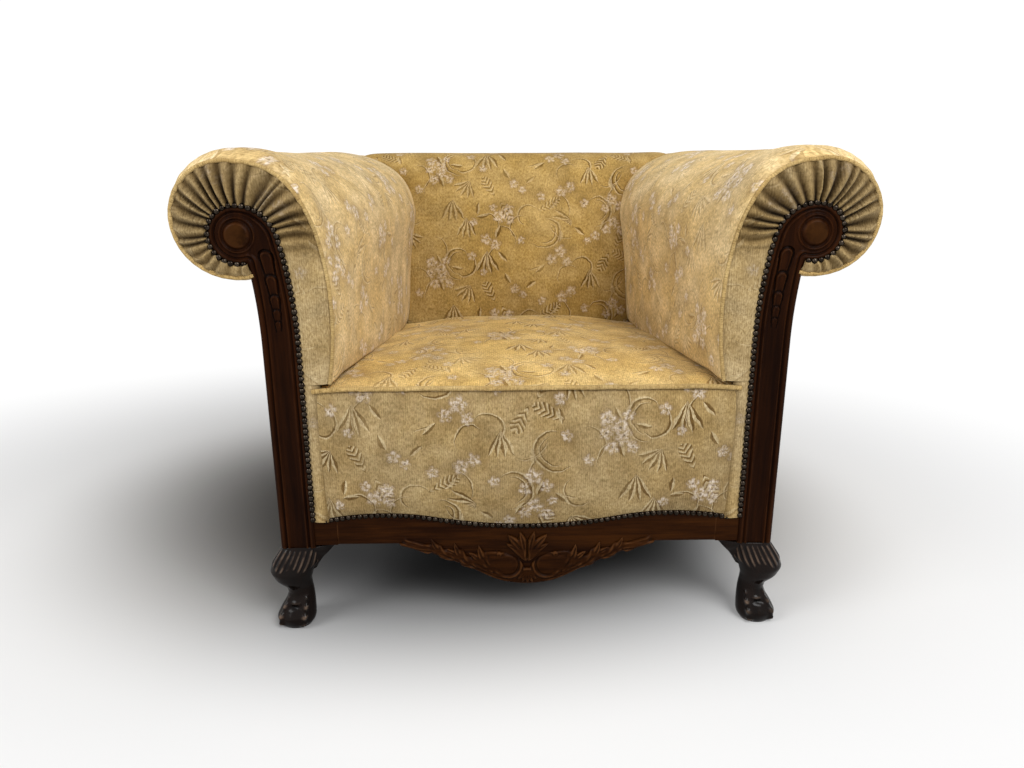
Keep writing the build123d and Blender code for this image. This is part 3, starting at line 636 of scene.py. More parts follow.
def velvet(name, ground, shade, pale, bloom, pattern=1.0, seed=0.0, strokes=0.85):
    """Ribbed moquette with a woven floral, worn nap, a soft sheen and painted shade where the marks lie."""
    material, n, shader = new_material(name)
    uv = n.put("ShaderNodeUVMap", uv_map="cloth").outputs[0]
    place = n.vector("ADD", uv, (seed, seed * 0.7, 0.0))
    group = n.put("ShaderNodeGroup", {0: place}, node_tree=FLORAL)
    flower, eye, dark, light = group.outputs
    patch = n.step(n.noise(place, 8.0, 5, 0.62), 0.38, 0.64)
    blotch = n.step(n.noise(place, 3.0, 4, 0.6), 0.36, 0.66)
    fleck = n.noise(place, 170.0, 3, 0.65)
    rib_at = n.parts(place)[0]
    nap = n.noise(n.scaled(place, 440.0, 190.0, 1.0), 1.0, 3, 0.65)
    brown = tuple(c * f for c, f in zip(ground, (0.34, 0.27, 0.18)))
    cream = tuple(0.5 * a + 0.5 * b for a, b in zip(pale, (0.62, 0.52, 0.34)))
    colour = n.mix(blotch, ground, shade)
    colour = n.mix(n.times(patch, 0.5), colour, pale)
    worn = n.mul_add(patch, -0.45, 1.0)
    speck = n.step(fleck, 0.45, 0.58)
    around = n.times(n.step(flower, 2.8, 1.1), n.mul_add(speck, 0.5, 0.15), 0.6 * pattern)
    colour = n.mix(around, colour, brown)
    colour = n.mix(n.times(n.step(dark, 1.25, 0.75), worn, strokes * pattern), colour, brown)
    colour = n.mix(n.times(n.step(light, 1.15, 0.65), worn, 0.60 * pattern), colour, cream)
    broken = n.mul_add(n.step(fleck, 0.38, 0.60), 0.68, 0.06)
    colour = n.mix(n.times(n.step(flower, 1.2, 0.55), broken, pattern), colour, bloom)
    ring = n.times(n.step(flower, 0.72, 0.94), n.step(flower, 1.3, 1.02), speck, 0.42 * pattern)
    colour = n.mix(ring, colour, brown)
    colour = n.mix(n.times(n.step(eye, 3.8, 1.6), speck, 0.85 * pattern), colour, toned(brown, 0.7))
    tone = n.mul_add(nap, 1.4, 0.27)
    rib = n.math("SINE", n.times(rib_at, 2 * math.pi / 0.0034))
    tone = n.mul_add(rib, 0.06, tone)
    tone = n.mul_add(fleck, 1.1, n.math("SUBTRACT", tone, 0.55))
    tone = n.times(tone, n.mul_add(n.noise(place, 22.0, 4, 0.6), 1.1, 0.46))
    # Painted shade: the marks darken the cloth; on the arm fronts they lie in the pleat valleys, along the
    # wood and at the piping
    tone = n.times(tone, n.mul_add(n.mark(), -0.80, 1.0))
    tone = n.math("MAXIMUM", tone, 0.05)
    grey = n.put("ShaderNodeCombineColor", {"Red": tone, "Green": n.math("POWER", tone, 1.1),
                                            "Blue": n.math("POWER", tone, 1.3)}).outputs[0]
    colour = n.mix(1.0, colour, grey, "MULTIPLY")
    height = n.mul_add(fleck, 0.5, n.mul_add(rib, 0.15, nap))
    n.fill(shader, {"Base Color": colour, "Normal": n.bump(height, 0.7, 0.0014), "Roughness": 0.9,
                    "Specular IOR Level": 0.15, "Sheen Weight": 0.10, "Sheen Roughness": 0.4,
                    "Sheen Tint": (0.95, 0.84, 0.62, 1)})
    return material


def wood(name, dark, light, worn, grain=(1.0, 1.0, 0.06), gloss=0.36, coat=0.08, specular=0.3, pointiness_shade_highlight_wear=True):
    """Stained and polished wood with long grain, hollows darkened as painted shade and lighter edges that are
    partly wear and partly painted highlight.
    """
    material, n, shader = new_material(name)
    at = n.place()
    streak = n.scaled(at, *grain)
    coarse = n.noise(streak, 60.0, 6, 0.6)
    fine = n.noise(streak, 260.0, 4, 0.7)
    mixed = n.mul_add(fine, 0.35, n.times(coarse, 0.65))
    colour = n.mix(n.step(mixed, 0.35, 0.68), dark, light)
    cloud = n.step(n.noise(at, 9.0, 3, 0.5), 0.4, 0.75)
    colour = n.mix(n.times(cloud, 0.4), colour, toned(dark, 0.55))
    edge = n.edges() if pointiness_shade_highlight_wear else 0.5
    mark = n.mark()
    # Painted shade: concave places, found from the pointiness, and places marked above 0 go towards a much
    # darker tone
    hollow = n.math("MAXIMUM", n.step(edge, 0.49, 0.42), n.step(mark, 0.1, 0.8))
    colour = n.mix(n.times(hollow, 0.85), colour, toned(dark, 0.2))
    # Lighter edges, from high pointiness and marks below 0, in noisy patches: partly wear, partly painted
    # highlight
    wear_and_painted_highlight = n.math("MAXIMUM", n.step(edge, 0.515, 0.60), n.step(mark, -0.15, -0.8))
    wear_and_painted_highlight = n.times(wear_and_painted_highlight, n.step(n.noise(at, 40.0, 3, 0.6), 0.25, 0.65), 0.8)
    colour = n.mix(wear_and_painted_highlight, colour, worn)
    n.fill(shader, {"Base Color": colour, "Roughness": n.mul_add(coarse, 0.25, gloss - 0.1),
                    "Normal": n.bump(mixed, 0.15, 0.0006), "Specular IOR Level": specular,
                    "Coat Weight": coat, "Coat Roughness": 0.22})
    return material


def metal(name, dark, bright, rough=0.3):
    """Spotted metal, dark in its hollows."""
    material, n, shader = new_material(name)
    at = n.place()
    spots = n.noise(at, 120.0, 4, 0.6)
    edge = n.edges()
    colour = n.mix(n.step(spots, 0.4, 0.65), dark, bright)
    colour = n.mix(n.step(edge, 0.48, 0.40), colour, toned(dark, 0.3))
    n.fill(shader, {"Base Color": colour, "Roughness": n.mul_add(spots, 0.3, rough - 0.12),
                    "Normal": n.bump(spots, 0.12, 0.0005), "Metallic": 1.0})
    return material


def woven(name, colour, other, pitch):
    """Plain weave for straps, hessian and lining, from object coordinates."""
    material, n, shader = new_material(name)
    at = n.place()
    split = n.put("ShaderNodeSeparateXYZ", {"Vector": at})
    waves = [n.math("SINE", n.times(split.outputs[i], 2 * math.pi / pitch)) for i in range(3)]
    cross = n.times(n.math("ADD", waves[0], waves[2]), waves[1])
    weave = n.mul_add(cross, 0.25, n.noise(at, 300.0, 3, 0.6))
    n.fill(shader, {"Base Color": n.mix(n.step(weave, 0.2, 0.8), colour, other),
                    "Normal": n.bump(weave, 0.4, 0.0008), "Roughness": 0.9})
    return material


# Ground, shade and pale of each cloth, its flowers, the strength of its pattern, a shift and its strokes
# All the cloths are one velvet; the differences between their grounds and flowers are painted light and
# shade, darkest on the back, the seat border and the arm fronts
LILAC = (0.56, 0.47, 0.38)
arm_cloth = velvet("floral_velvet_arm", (0.64, 0.455, 0.20), (0.56, 0.395, 0.17), (0.76, 0.61, 0.37),
                   (0.74, 0.65, 0.56), 1.0, 0.11, 0.5)
back_cloth = velvet("floral_velvet_back_painted_shade", (0.37, 0.235, 0.066), (0.32, 0.20, 0.057), (0.43, 0.30, 0.12),
                    (0.54, 0.43, 0.31), 1.0, 0.37, 0.95)
seat_cloth = velvet("floral_velvet_seat", (0.56, 0.37, 0.12), (0.50, 0.325, 0.108), (0.63, 0.46, 0.21),
                    LILAC, 1.0, 0.23)
border_cloth = velvet("floral_velvet_border_painted_shade", (0.31, 0.21, 0.082), (0.26, 0.175, 0.073), (0.40, 0.305, 0.16),
                      (0.54, 0.455, 0.37), 1.0, 0.05, 0.95)
front_cloth = velvet("floral_velvet_front_painted_shade", (0.36, 0.25, 0.105), (0.31, 0.215, 0.095), (0.43, 0.335, 0.19),
                     (0.46, 0.385, 0.31), 0.5, 0.61)
piping_cloth = velvet("velvet_piping", (0.42, 0.28, 0.105), (0.36, 0.24, 0.09), (0.48, 0.36, 0.17),
                      LILAC, 0.0, 0.0)
# Dark, light and worn tones of each wood; the worn tone also paints highlights on raised edges
MATT = {"specular": 0.03, "coat": 0}
rail_tones = ((0.010, 0.0024, 0.0004), (0.038, 0.0115, 0.0018), (0.075, 0.028, 0.008), (0.06, 1.0, 1.0))
post_wood = wood("show_wood_post", (0.008, 0.0020, 0.0005), (0.026, 0.0070, 0.0014), (0.055, 0.019, 0.005),
                 **MATT)
rail_wood = wood("show_wood_rail", *rail_tones, **MATT)
block_wood = wood("show_wood_block", *rail_tones, **MATT, pointiness_shade_highlight_wear=False)
eye_wood = wood("show_wood_boss", (0.009, 0.0026, 0.0004), (0.024, 0.0075, 0.001), (0.04, 0.014, 0.003),
                **MATT)
# The foot's worn tone is far lighter than its wood, to paint highlights on the claws and reeds
foot_wood = wood("dark_foot", (0.003, 0.0014, 0.0008), (0.008, 0.0035, 0.002), (0.15, 0.10, 0.07),
                 gloss=0.13, coat=0.14, specular=0.05, pointiness_shade_highlight_wear=False)
frame_wood = wood("frame_wood", (0.38, 0.26, 0.14), (0.55, 0.40, 0.24), (0.60, 0.46, 0.30),
                  gloss=0.6, coat=0.0)
leg_wood = wood("stained_leg", (0.020, 0.009, 0.005), (0.055, 0.023, 0.012), (0.12, 0.05, 0.02), gloss=0.4)
brass = metal("antique_brass", (0.016, 0.012, 0.009), (0.05, 0.039, 0.029), 0.22)
steel = metal("spring_steel", (0.16, 0.15, 0.14), (0.40, 0.38, 0.36))
jute = woven("webbing_jute", (0.36, 0.27, 0.15), (0.56, 0.45, 0.28), 0.004)
sacking = woven("hessian", (0.40, 0.31, 0.18), (0.60, 0.49, 0.32), 0.003)
cambric = woven("black_cambric", (0.012, 0.012, 0.012), (0.035, 0.034, 0.033), 0.002)


# Upholstered arms
def arm_section(y):
    """Arm section at depth y; the roll is drawn in a little behind the arm front."""
    inner, tuck = arm_inner(y)
    return arm_outline(inner, tuck, ARM_SINK * float(ease(y, 45, 150)))


def arm_piece(side, tag):
    """Inside arm, shoulder and roll, from the piping to the rear plane."""
    near_front = np.array([0, 0.3, 1.2, 2.7, 5, 8, 12, 17, 23]) / ARM_LONG
    hidden = POST_IN + 2
    rows, uv_rows = [], []
    for t in np.concatenate([near_front, np.linspace(0.04, 0.985, 52), [0.993, 1]]):
        line = arm_section(ARM_START + t * ARM_LONG)
        line = line + side_normals(line) * 0.8
        rear = rear_y(line[:, 1])
        depth = ARM_START + t * (rear - ARM_START)
        away = unit(1 - (depth - ARM_START) / ARM_ROUND)
        dip = facing_inset(line) * (1 - np.sqrt(1 - away**2)) + 3.0 * np.exp(-(rear - depth) / 6)
        line = line + side_normals(line) * dip[:, None]
        along = lengths(line)
        line[:, 1] -= 20 * ease(t, 0.2, 0.68) * ease(line[:, 1], 520, ARM_FOOT)
        low, high = [hidden, line[-1, 1]], [hidden, line[0, 1]]
        foot, neck = np.linspace(line[-1], low, 5), np.linspace(high, line[0], 5)
        close = chain(foot, np.linspace(low, high, 12), neck)[1:-1]
        ring = np.concatenate([line, close])
        behind = np.maximum(ARM_LIP, ARM_START + t * (rear_y(close[:, 1]) - ARM_START))
        deep = np.concatenate([depth, behind])
        rows.append(coords(ring[:, 0], deep, ring[:, 1]))
        up = along[-1] - np.concatenate([along, np.full(len(close), along[-1])])
        uv_rows.append(coords(deep * side, up) / 1000)
    lip = rows[0].copy()
    lip[:, 1] = ARM_LIP
    uvs = np.array([uv_rows[0]] + uv_rows)
    skin = Skin()
    skin.tube(np.array([lip] + rows), uvs, cap_uvs=(uvs[0], uvs[-1]))
    obj = skin.make("inside_arm_" + tag)
    x, y, z = points_of(obj).T
    puff(obj, (np.abs(x - hidden) < 0.6) | (y < ARM_START + 3) | (y > rear_y(z) - 4), 2.5, 4.0)
    here = points_of(obj)
    x, y, z = here.T
    free = unit((y - 12) / 60)
    near = np.exp(-np.clip(y - 8, 0, 400) / 18)
    turn = np.arctan2(z - SCROLL[1], x - SCROLL[0])
    move = free * smooth_noise(here, 230, 3 + side) * 1.4
    move += np.sin(turn * 34 + 2 * np.sin(turn * 5)) * near * 0.9
    move += free * bell(z, ARM_FOOT + 14, 16) * np.sin(y / 24 + np.sin(y / 60) * 2) * 1.2
    set_points(obj, here + normals_of(obj) * move[:, None])
    to_side(obj, side)
    finish_piece(obj, arm_cloth, "floral_velvet", "arm_pad_" + tag, fill=0.8, smooth=1)


for side, tag in SIDES:
    arm_piece(side, tag)

# Pleated arm fronts
STEM_EDGE, HEAD_EDGE = post_edges(FRAME_LOW + NAIL_END)
WOOD_EDGE = resample(chain(STEM_EDGE, HEAD_EDGE), 2400)


def turn_round(points):
    """Turn of points about the scroll, falling from the foot of the arm to the neck."""
    turn = np.unwrap(np.arctan2(points[:, 1] - SCROLL[1], points[:, 0] - SCROLL[0]))
    return turn - 2 * math.pi * np.round((turn[-1] + math.radians(SCROLL_END)) / (2 * math.pi))


def arm_front(side, tag):
    """Gathered cloth from the piping into the scroll, plain down the inner side."""
    outer = arm_outline(ARM_FRONT, 0.0)
    outer = resample((outer + side_normals(outer) * (facing_inset(outer) + 0.5)[:, None])[::-1], 720)
    turn = turn_round(outer)
    upright = WOOD_EDGE[:np.argmax(WOOD_EDGE[:, 1])]
    plain = coords(np.interp(outer[:, 1], upright[:, 1], upright[:, 0]), outer[:, 1])
    high = WOOD_EDGE[np.argmax(WOOD_EDGE[:, 1] > 610):]
    fanned = line_at(turn, turn_round(high)[::-1], high[::-1])
    inner = np.where((turn > math.pi)[:, None], plain, fanned)
    along = lengths(outer)
    first = np.interp(-math.radians(FAN_FROM), -turn, along)
    fold = (along - first) / (along[-1] - first)
    local = np.random.default_rng(21 + side)
    steps = local.uniform(0.6, 1.5, PLEATS)
    edges = np.concatenate([[0], np.cumsum(steps)]) / steps.sum()
    phase = np.interp(unit(fold), edges, np.arange(PLEATS + 1))
    strength = ease(fold, -0.05, 0.08) * (1 - 0.45 * ease(fold, 0.72, 0.95))
    middles = np.arange(PLEATS + 2) - 0.5
    size = np.interp(phase, middles, local.uniform(0.45, 1.25, PLEATS + 2))
    sway = np.interp(phase, middles, local.uniform(-0.35, 0.35, PLEATS + 2))
    t = np.linspace(0, 1, 34)[:, None]
    wave = np.abs(np.sin(math.pi * (phase + sway * np.sin(t * 2.8))))
    x, z = [inner[:, i] * (1 - t) + outer[:, i] * t for i in (0, 1)]
    belly = np.sin(math.pi * t) ** 0.7
    tall = (5.5 + 6.5 * ease(t, 0, 0.35)) * (1 - 0.6 * ease(t, 0.66, 1.0))
    pleated = 3.0 - 4.5 * belly - tall * size * wave ** 1.7
    y = strength * pleated + (1 - strength) * (1.5 - 4.8 * belly + 2.0 * t)
    seam = ease(t, 0.97, 1.0)
    y = np.maximum(y * (1 - seam) + 6.0 * seam, -13.5)
    # Painted shade: marks darken the pleat valleys, the whole fan a little, the cloth along the wood and at
    # the piping
    deep = unit(1.05 - wave ** 1.4) * (0.75 + 0.3 * size)
    marks = strength * (deep * (0.95 - 0.4 * t) + 0.34) + 0.35 * np.exp(-t / 0.05) + 0.5 * ease(t, 0.95, 1.0)
    skin = Skin()
    skin.grid(coords(x, y, z), marks=marks)
    z = np.linspace(FRAME_LOW + NAIL_END, ARM_FOOT + 4, 60)
    t = np.linspace(0, 1, 9)[:, None]
    y = 2.9 - 3.7 * np.sin(math.pi * t) ** 0.6 + 0.4 * np.sin(z / 17)
    # Painted shade on the plain strip, darker at both its long edges
    shade = np.repeat([0.9, 0.7, 0.45, 0.2, 0, 0, 0, 0.1, 0.4], len(z))
    skin.grid(coords(STRIP_IN + (POST_IN - STRIP_IN) * t, y, z), marks=shade)
    obj = skin.make("pleated_front_" + tag, outward=False)
    obj.data.flip_normals()
    to_side(obj, side)
    finish_piece(obj, front_cloth, "floral_velvet", "arm_front_" + tag, fill=0.7)


for side, tag in SIDES:
    arm_front(side, tag)


def tube_skin(skin, path, radius, count=12, beat=0.0):
    """Adds a round tube along a line in space to a skin."""
    along = np.gradient(path, axis=0)
    along /= np.linalg.norm(along, axis=1, keepdims=True)
    up = np.array([0.0, 1.0, 0.0]) if abs(along[0, 1]) < 0.9 else np.array([0.0, 0.0, 1.0])
    side = np.cross(along, up)
    side /= np.linalg.norm(side, axis=1, keepdims=True)
    lift = np.cross(side, along)
    turn = np.linspace(0, 2 * math.pi, count, endpoint=False)
    travel = lengths(path)
    ring = np.cos(turn)[None, :, None] * side[:, None] + np.sin(turn)[None, :, None] * lift[:, None]
    points = path[:, None] + ring * (radius * (1 + beat * np.sin(travel / 2.3)))[:, None, None]
    skin.tube(points, coords(travel[:, None], turn * radius) / 1000)


def cord_piece(path, name, node, radius=3.95):
    """Corded piping along a line in space."""
    skin = Skin()
    tube_skin(skin, path, radius, beat=0.035)
    finish_piece(skin.make(name), piping_cloth, "velvet_piping", node)


for side, tag in SIDES:
    edge = arm_outline(ARM_FRONT, 0.0)
    edge = resample(edge + side_normals(edge) * facing_inset(edge)[:, None], 420)
    wave = smooth_noise(coords(edge[:, 0], edge[:, 1] * 0, edge[:, 1]), 60, 5) * 0.5
    cord_piece(coords(edge[:, 0] * side, 1.2 + wave, edge[:, 1]), "arm_cord_" + tag, "arm_piping_" + tag, 3.2)


# Seat
def nail_line(x):
    """Height of the row of nails on the front rail at x."""
    x = np.abs(x)
    low, bend, at = 31.0, 44.5, 150.0
    radius = (at**2 + (bend - low)**2) / (2 * (bend - low))
    middle = low + radius - np.sqrt(np.maximum(radius**2 - np.minimum(x, at)**2, 0))
    slope = at / (radius - (bend - low))
    arc = tangent_arc([at, bend], [1, slope], [SEAT_HALF, NAIL_END], 40)[0]
    return FRAME_LOW + np.where(x <= at, middle, np.interp(x, arc[:, 0], arc[:, 1]))


def seat_piece():
    """Sprung seat top, crowned, tucked under the arms and the back."""
    u = np.linspace(-1, 1, 81)
    x = u * (SEAT_HALF - 1)
    y = np.concatenate([[0.5, 3.5, 8, 15, 25], np.linspace(36, SEAT_DEPTH - 1, 58)])[:, None]
    t = y / SEAT_DEPTH
    crown = 6 + 12 * ease(t, 0, 0.15) + 2 * ease(t, 0.1, 0.5) - 10 * ease(t, 0.5, 1.0)
    edge = SEAT_EDGE - 5.5 + 3.5 * (1 - np.exp(-y / 14)) - 9 * ease(t, 0.45, 1.0)
    drop = 11 * ease(t, 0.3, 0.95) * ease(np.abs(u), 0.35, 0.75)
    top = coords(x, y, edge + crown * (1 - np.abs(u) ** 2.3) + 4 * ease(t, 0.4, 0.95) - drop)
    under = coords(x * 0.995, np.maximum(y, 3.5), SEAT_LOW)
    skin = Skin()
    uv = (top[..., :2] + [0, SEAT_EDGE]) / 1000
    skin.grid(top, uv)
    skin.grid(under, uv)
    share = np.linspace(0, 1, 7)[:, None, None]
    for a, b in edge_pairs(top, under):
        skin.grid(a[None] * (1 - share) + b[None] * share)
    obj = skin.make("seat_cushion")
    x, y, z = points_of(obj).T
    puff(obj, (z < SEAT_EDGE - 10) | (y < 2) | (np.abs(x) > SEAT_HALF - 7) | (y > SEAT_DEPTH - 4), 2.5, 5)
    here = points_of(obj)
    x, y, z = here.T
    free = unit((z - SEAT_EDGE + 10) / 8) * unit((y - 6) / 40)
    lump = bell(y, 26, 24) * bell(np.abs(x), 120, 260)
    here[:, 2] += free * (smooth_noise(here, 190, 7) * 1.6 + lump * 2)
    set_points(obj, here)
    finish_piece(obj, seat_cloth, "floral_velvet", "seat_pad", fill=0.75, smooth=1)


def border_piece():
    """Front border of the seat, full in the middle and drawn in at its side seams."""
    u = np.linspace(-1, 1, 121)
    s = np.linspace(0, 1, 34)[:, None]
    top = SEAT_EDGE - 3.5
    x = u * (SEAT_HALF - 1.5 - 8 * (1 - s) ** 1.4)
    low = nail_line(x) + 4.0
    z = low + (top - low) * s
    full = (1 - np.abs(2 * s - 1) ** 5) * (1 - np.abs(u) ** 14)
    y = 1.5 - 13.0 * full ** 0.75 - 1.8 * np.sin(math.pi * s) * (1 - u**2)
    skin = Skin()
    skin.slab(coords(x, y, z), coords(x, 2.6, z))
    obj = skin.make("seat_front_border", merge=0.01)
    x, y, z = points_of(obj).T
    over = z - nail_line(x)
    puff(obj, (y > 0.5) | (z > top - 2) | (over < 6), 2.0, 3.5)
    here = points_of(obj)
    x, y, z = here.T
    free = unit((1.5 - y) / 6)
    drag = np.exp(-(SEAT_HALF - np.abs(x)) / 26) * np.sin(z / 9.5 + np.sin(z / 23) * 2)
    from_top = np.exp(-(top - z) / 10) * np.sin(x / 7 + np.sin(x / 31) * 2)
    from_nails = np.exp(-over / 12) * np.sin(x * 2 * math.pi / (2 * NAIL_PITCH))
    here[:, 1] += free * (smooth_noise(here, 150, 11) * 1.6 + 1.8 * drag + 0.8 * from_top + from_nails)
    set_points(obj, here)
    finish_piece(obj, border_cloth, "floral_velvet", "seat_border", fill=0.7, smooth=1)


seat_piece()
border_piece()
across = np.linspace(-SEAT_HALF, SEAT_HALF, 360)
wave = smooth_noise(coords(across, across * 0, across * 0), 90, 9)
drop = 4 * (np.abs(across) / SEAT_HALF) ** 12
cord_piece(coords(across, -1.2 + 0.6 * wave, SEAT_EDGE - 0.5 + 0.9 * np.roll(wave, 40) - drop),
           "seat_cord", "seat_piping")


# Back
def arm_side(y, z):
    """x of the arm's inner surface at a depth and height."""
    part = arm_section(y)[57:][::-1]
    return np.interp(z, part[:, 1], part[:, 0])


def back_piece():
    """Inside back with its rolled top, running into the arms."""
    foot = np.array([SEAT_DEPTH + 1, BACK_LOW])
    axis = rear_y(BACK_LINE) - 80
    brow = np.array([axis - 80, BACK_LINE])
    bow = (foot + brow) / 2 - np.array([13.0, 0.0])
    t = np.linspace(0, 1, 30)[:, None]
    face = (1 - t) ** 2 * foot + 2 * t * (1 - t) * (2 * bow - (foot + brow) / 2) + t**2 * brow
    line = chain(face, circle([axis, BACK_LINE], BACK_ROLL, 180, 0, 40))
    shelf = [rear_y(608), BACK_LINE - 50]
    close = chain(np.linspace(line[-1], shelf, 4), np.linspace(shelf, line[0], 14))[1:-1]
    along = lengths(line)
    up = np.concatenate([along, np.linspace(along[-1], 0, len(close))])
    u = np.linspace(-1, 1, 71)
    u = np.sign(u) * (1 - (1 - np.abs(u)) ** 1.25)
    columns, uvs = [], []
    crest = ARM_TOP - ARM_SINK - 3
    for (y, z), height in zip(np.concatenate([line, close]), up):
        limit = arm_side(y, min(z, crest)) + 7
        x = u * limit
        seam = (1 - np.abs(u)) * limit
        pull = (14 * (x / 350) ** 2 + 10 * np.exp(-seam / 12)) * unit((axis - y) / 60)
        drop = 9 * np.exp(-seam / 14) * unit((z - BACK_LINE - 10) / 60)
        columns.append(coords(x, y + pull, z - drop))
        uvs.append(coords(x, height) / 1000)
    skin = Skin()
    skin.tube(np.array(columns).transpose(1, 0, 2), np.array(uvs).transpose(1, 0, 2))
    obj = skin.make("inside_back")
    here = points_of(obj)
    x, y, z = here.T
    side = np.array([arm_side(y, min(z, crest)) for y, z in here[:, 1:]])
    puff(obj, (np.abs(x) > side - 4) | (z < BACK_LOW + 14) | (y > rear_y(z) - 30), 2.5, 5)
    here = points_of(obj)
    move = unit((side - np.abs(here[:, 0])) / 30) * smooth_noise(here, 200, 13) * 1.6
    set_points(obj, here + normals_of(obj) * move[:, None])
    finish_piece(obj, back_cloth, "floral_velvet", "back_pad", fill=0.7, smooth=1)


back_piece()


# Outside panels
def outside_arm(side, tag):
    """Plain padded panel from the post to the rear plane."""
    v = np.linspace(0, 1, 40)
    s = v[:, None]
    z = POST_LOW + 0.5 + s * (NECK - POST_LOW - 1)
    y = POST_DEEP + 1 + v * (rear_y(z) - POST_DEEP - 1.5)
    full = (1 - np.abs(2 * v - 1) ** 10) * (1 - np.abs(2 * s - 1) ** 10)
    skin = Skin()
    skin.slab(coords(403.5 + 2.4 * full, y, z), coords(400.2, y, z), coords(y * side, z) / 1000)
    obj = skin.make("outside_arm_panel_" + tag, merge=0.01)
    here = points_of(obj)
    here[:, 0] += np.where(here[:, 0] > 404, smooth_noise(here, 210, 17) * 0.8, 0)
    set_points(obj, here)
    to_side(obj, side)
    finish_piece(obj, arm_cloth, "floral_velvet", "outside_arm_" + tag, fill=0.4, smooth=1)


def outside_back():
    """Outside back, its ears covering the rear ends of the rolls."""
    ear = arm_outline(ARM_REAR, ARM_TUCK, ARM_SINK)
    ear = ear + side_normals(ear) * 1.2
    stop = np.nonzero((ear[:, 1] < BACK_LINE) & (ear[:, 0] < 300))[0][0]
    low = POST_LOW + 0.5
    right = np.concatenate([[[0, low], [200, low], [405, low], [405.5, 300], [405.5, 470]], ear[:stop],
                            [[ear[stop, 0], BACK_LINE], [120, BACK_LINE], [0, BACK_LINE]]])
    right = resample(right, 150)
    loop = np.concatenate([right, (right * [-1, 1])[::-1][1:-1]])
    middle = coords(np.clip(loop[:, 0] * 350 / 405, -350, 350), 640.0)
    t = np.concatenate([[0.0], np.linspace(0.01, 1, 24) ** 1.6])[:, None]
    x, z = [middle[:, i] + (loop[:, i] - middle[:, i]) * (1 - t) for i in (0, 1)]
    rows = coords(x, rear_y(z) + 3.4 + 2.4 * (1 - np.exp(-t * 14)), z)
    rim = rows[0].copy()
    rim[:, 1] = rear_y(rim[:, 2]) + 0.3
    skin = Skin()
    skin.grid(np.concatenate([rim[None], rows]), loop=True)
    skin.cap(rim)
    obj = skin.make("outside_back_panel", merge=0.005)
    finish_piece(obj, arm_cloth, "floral_velvet", "outside_back", fill=0.4)


for side, tag in SIDES:
    outside_arm(side, tag)
outside_back()


# Show-wood posts
def edge_distance(points, line):
    """Distance of plane points from a polyline."""
    best = np.full(len(points), 1e9)
    for start, way in zip(line[:-1], np.diff(line, axis=0)):
        t = unit(((points - start) @ way) / (way @ way))
        best = np.minimum(best, np.linalg.norm(points - start - t[:, None] * way, axis=1))
    return best


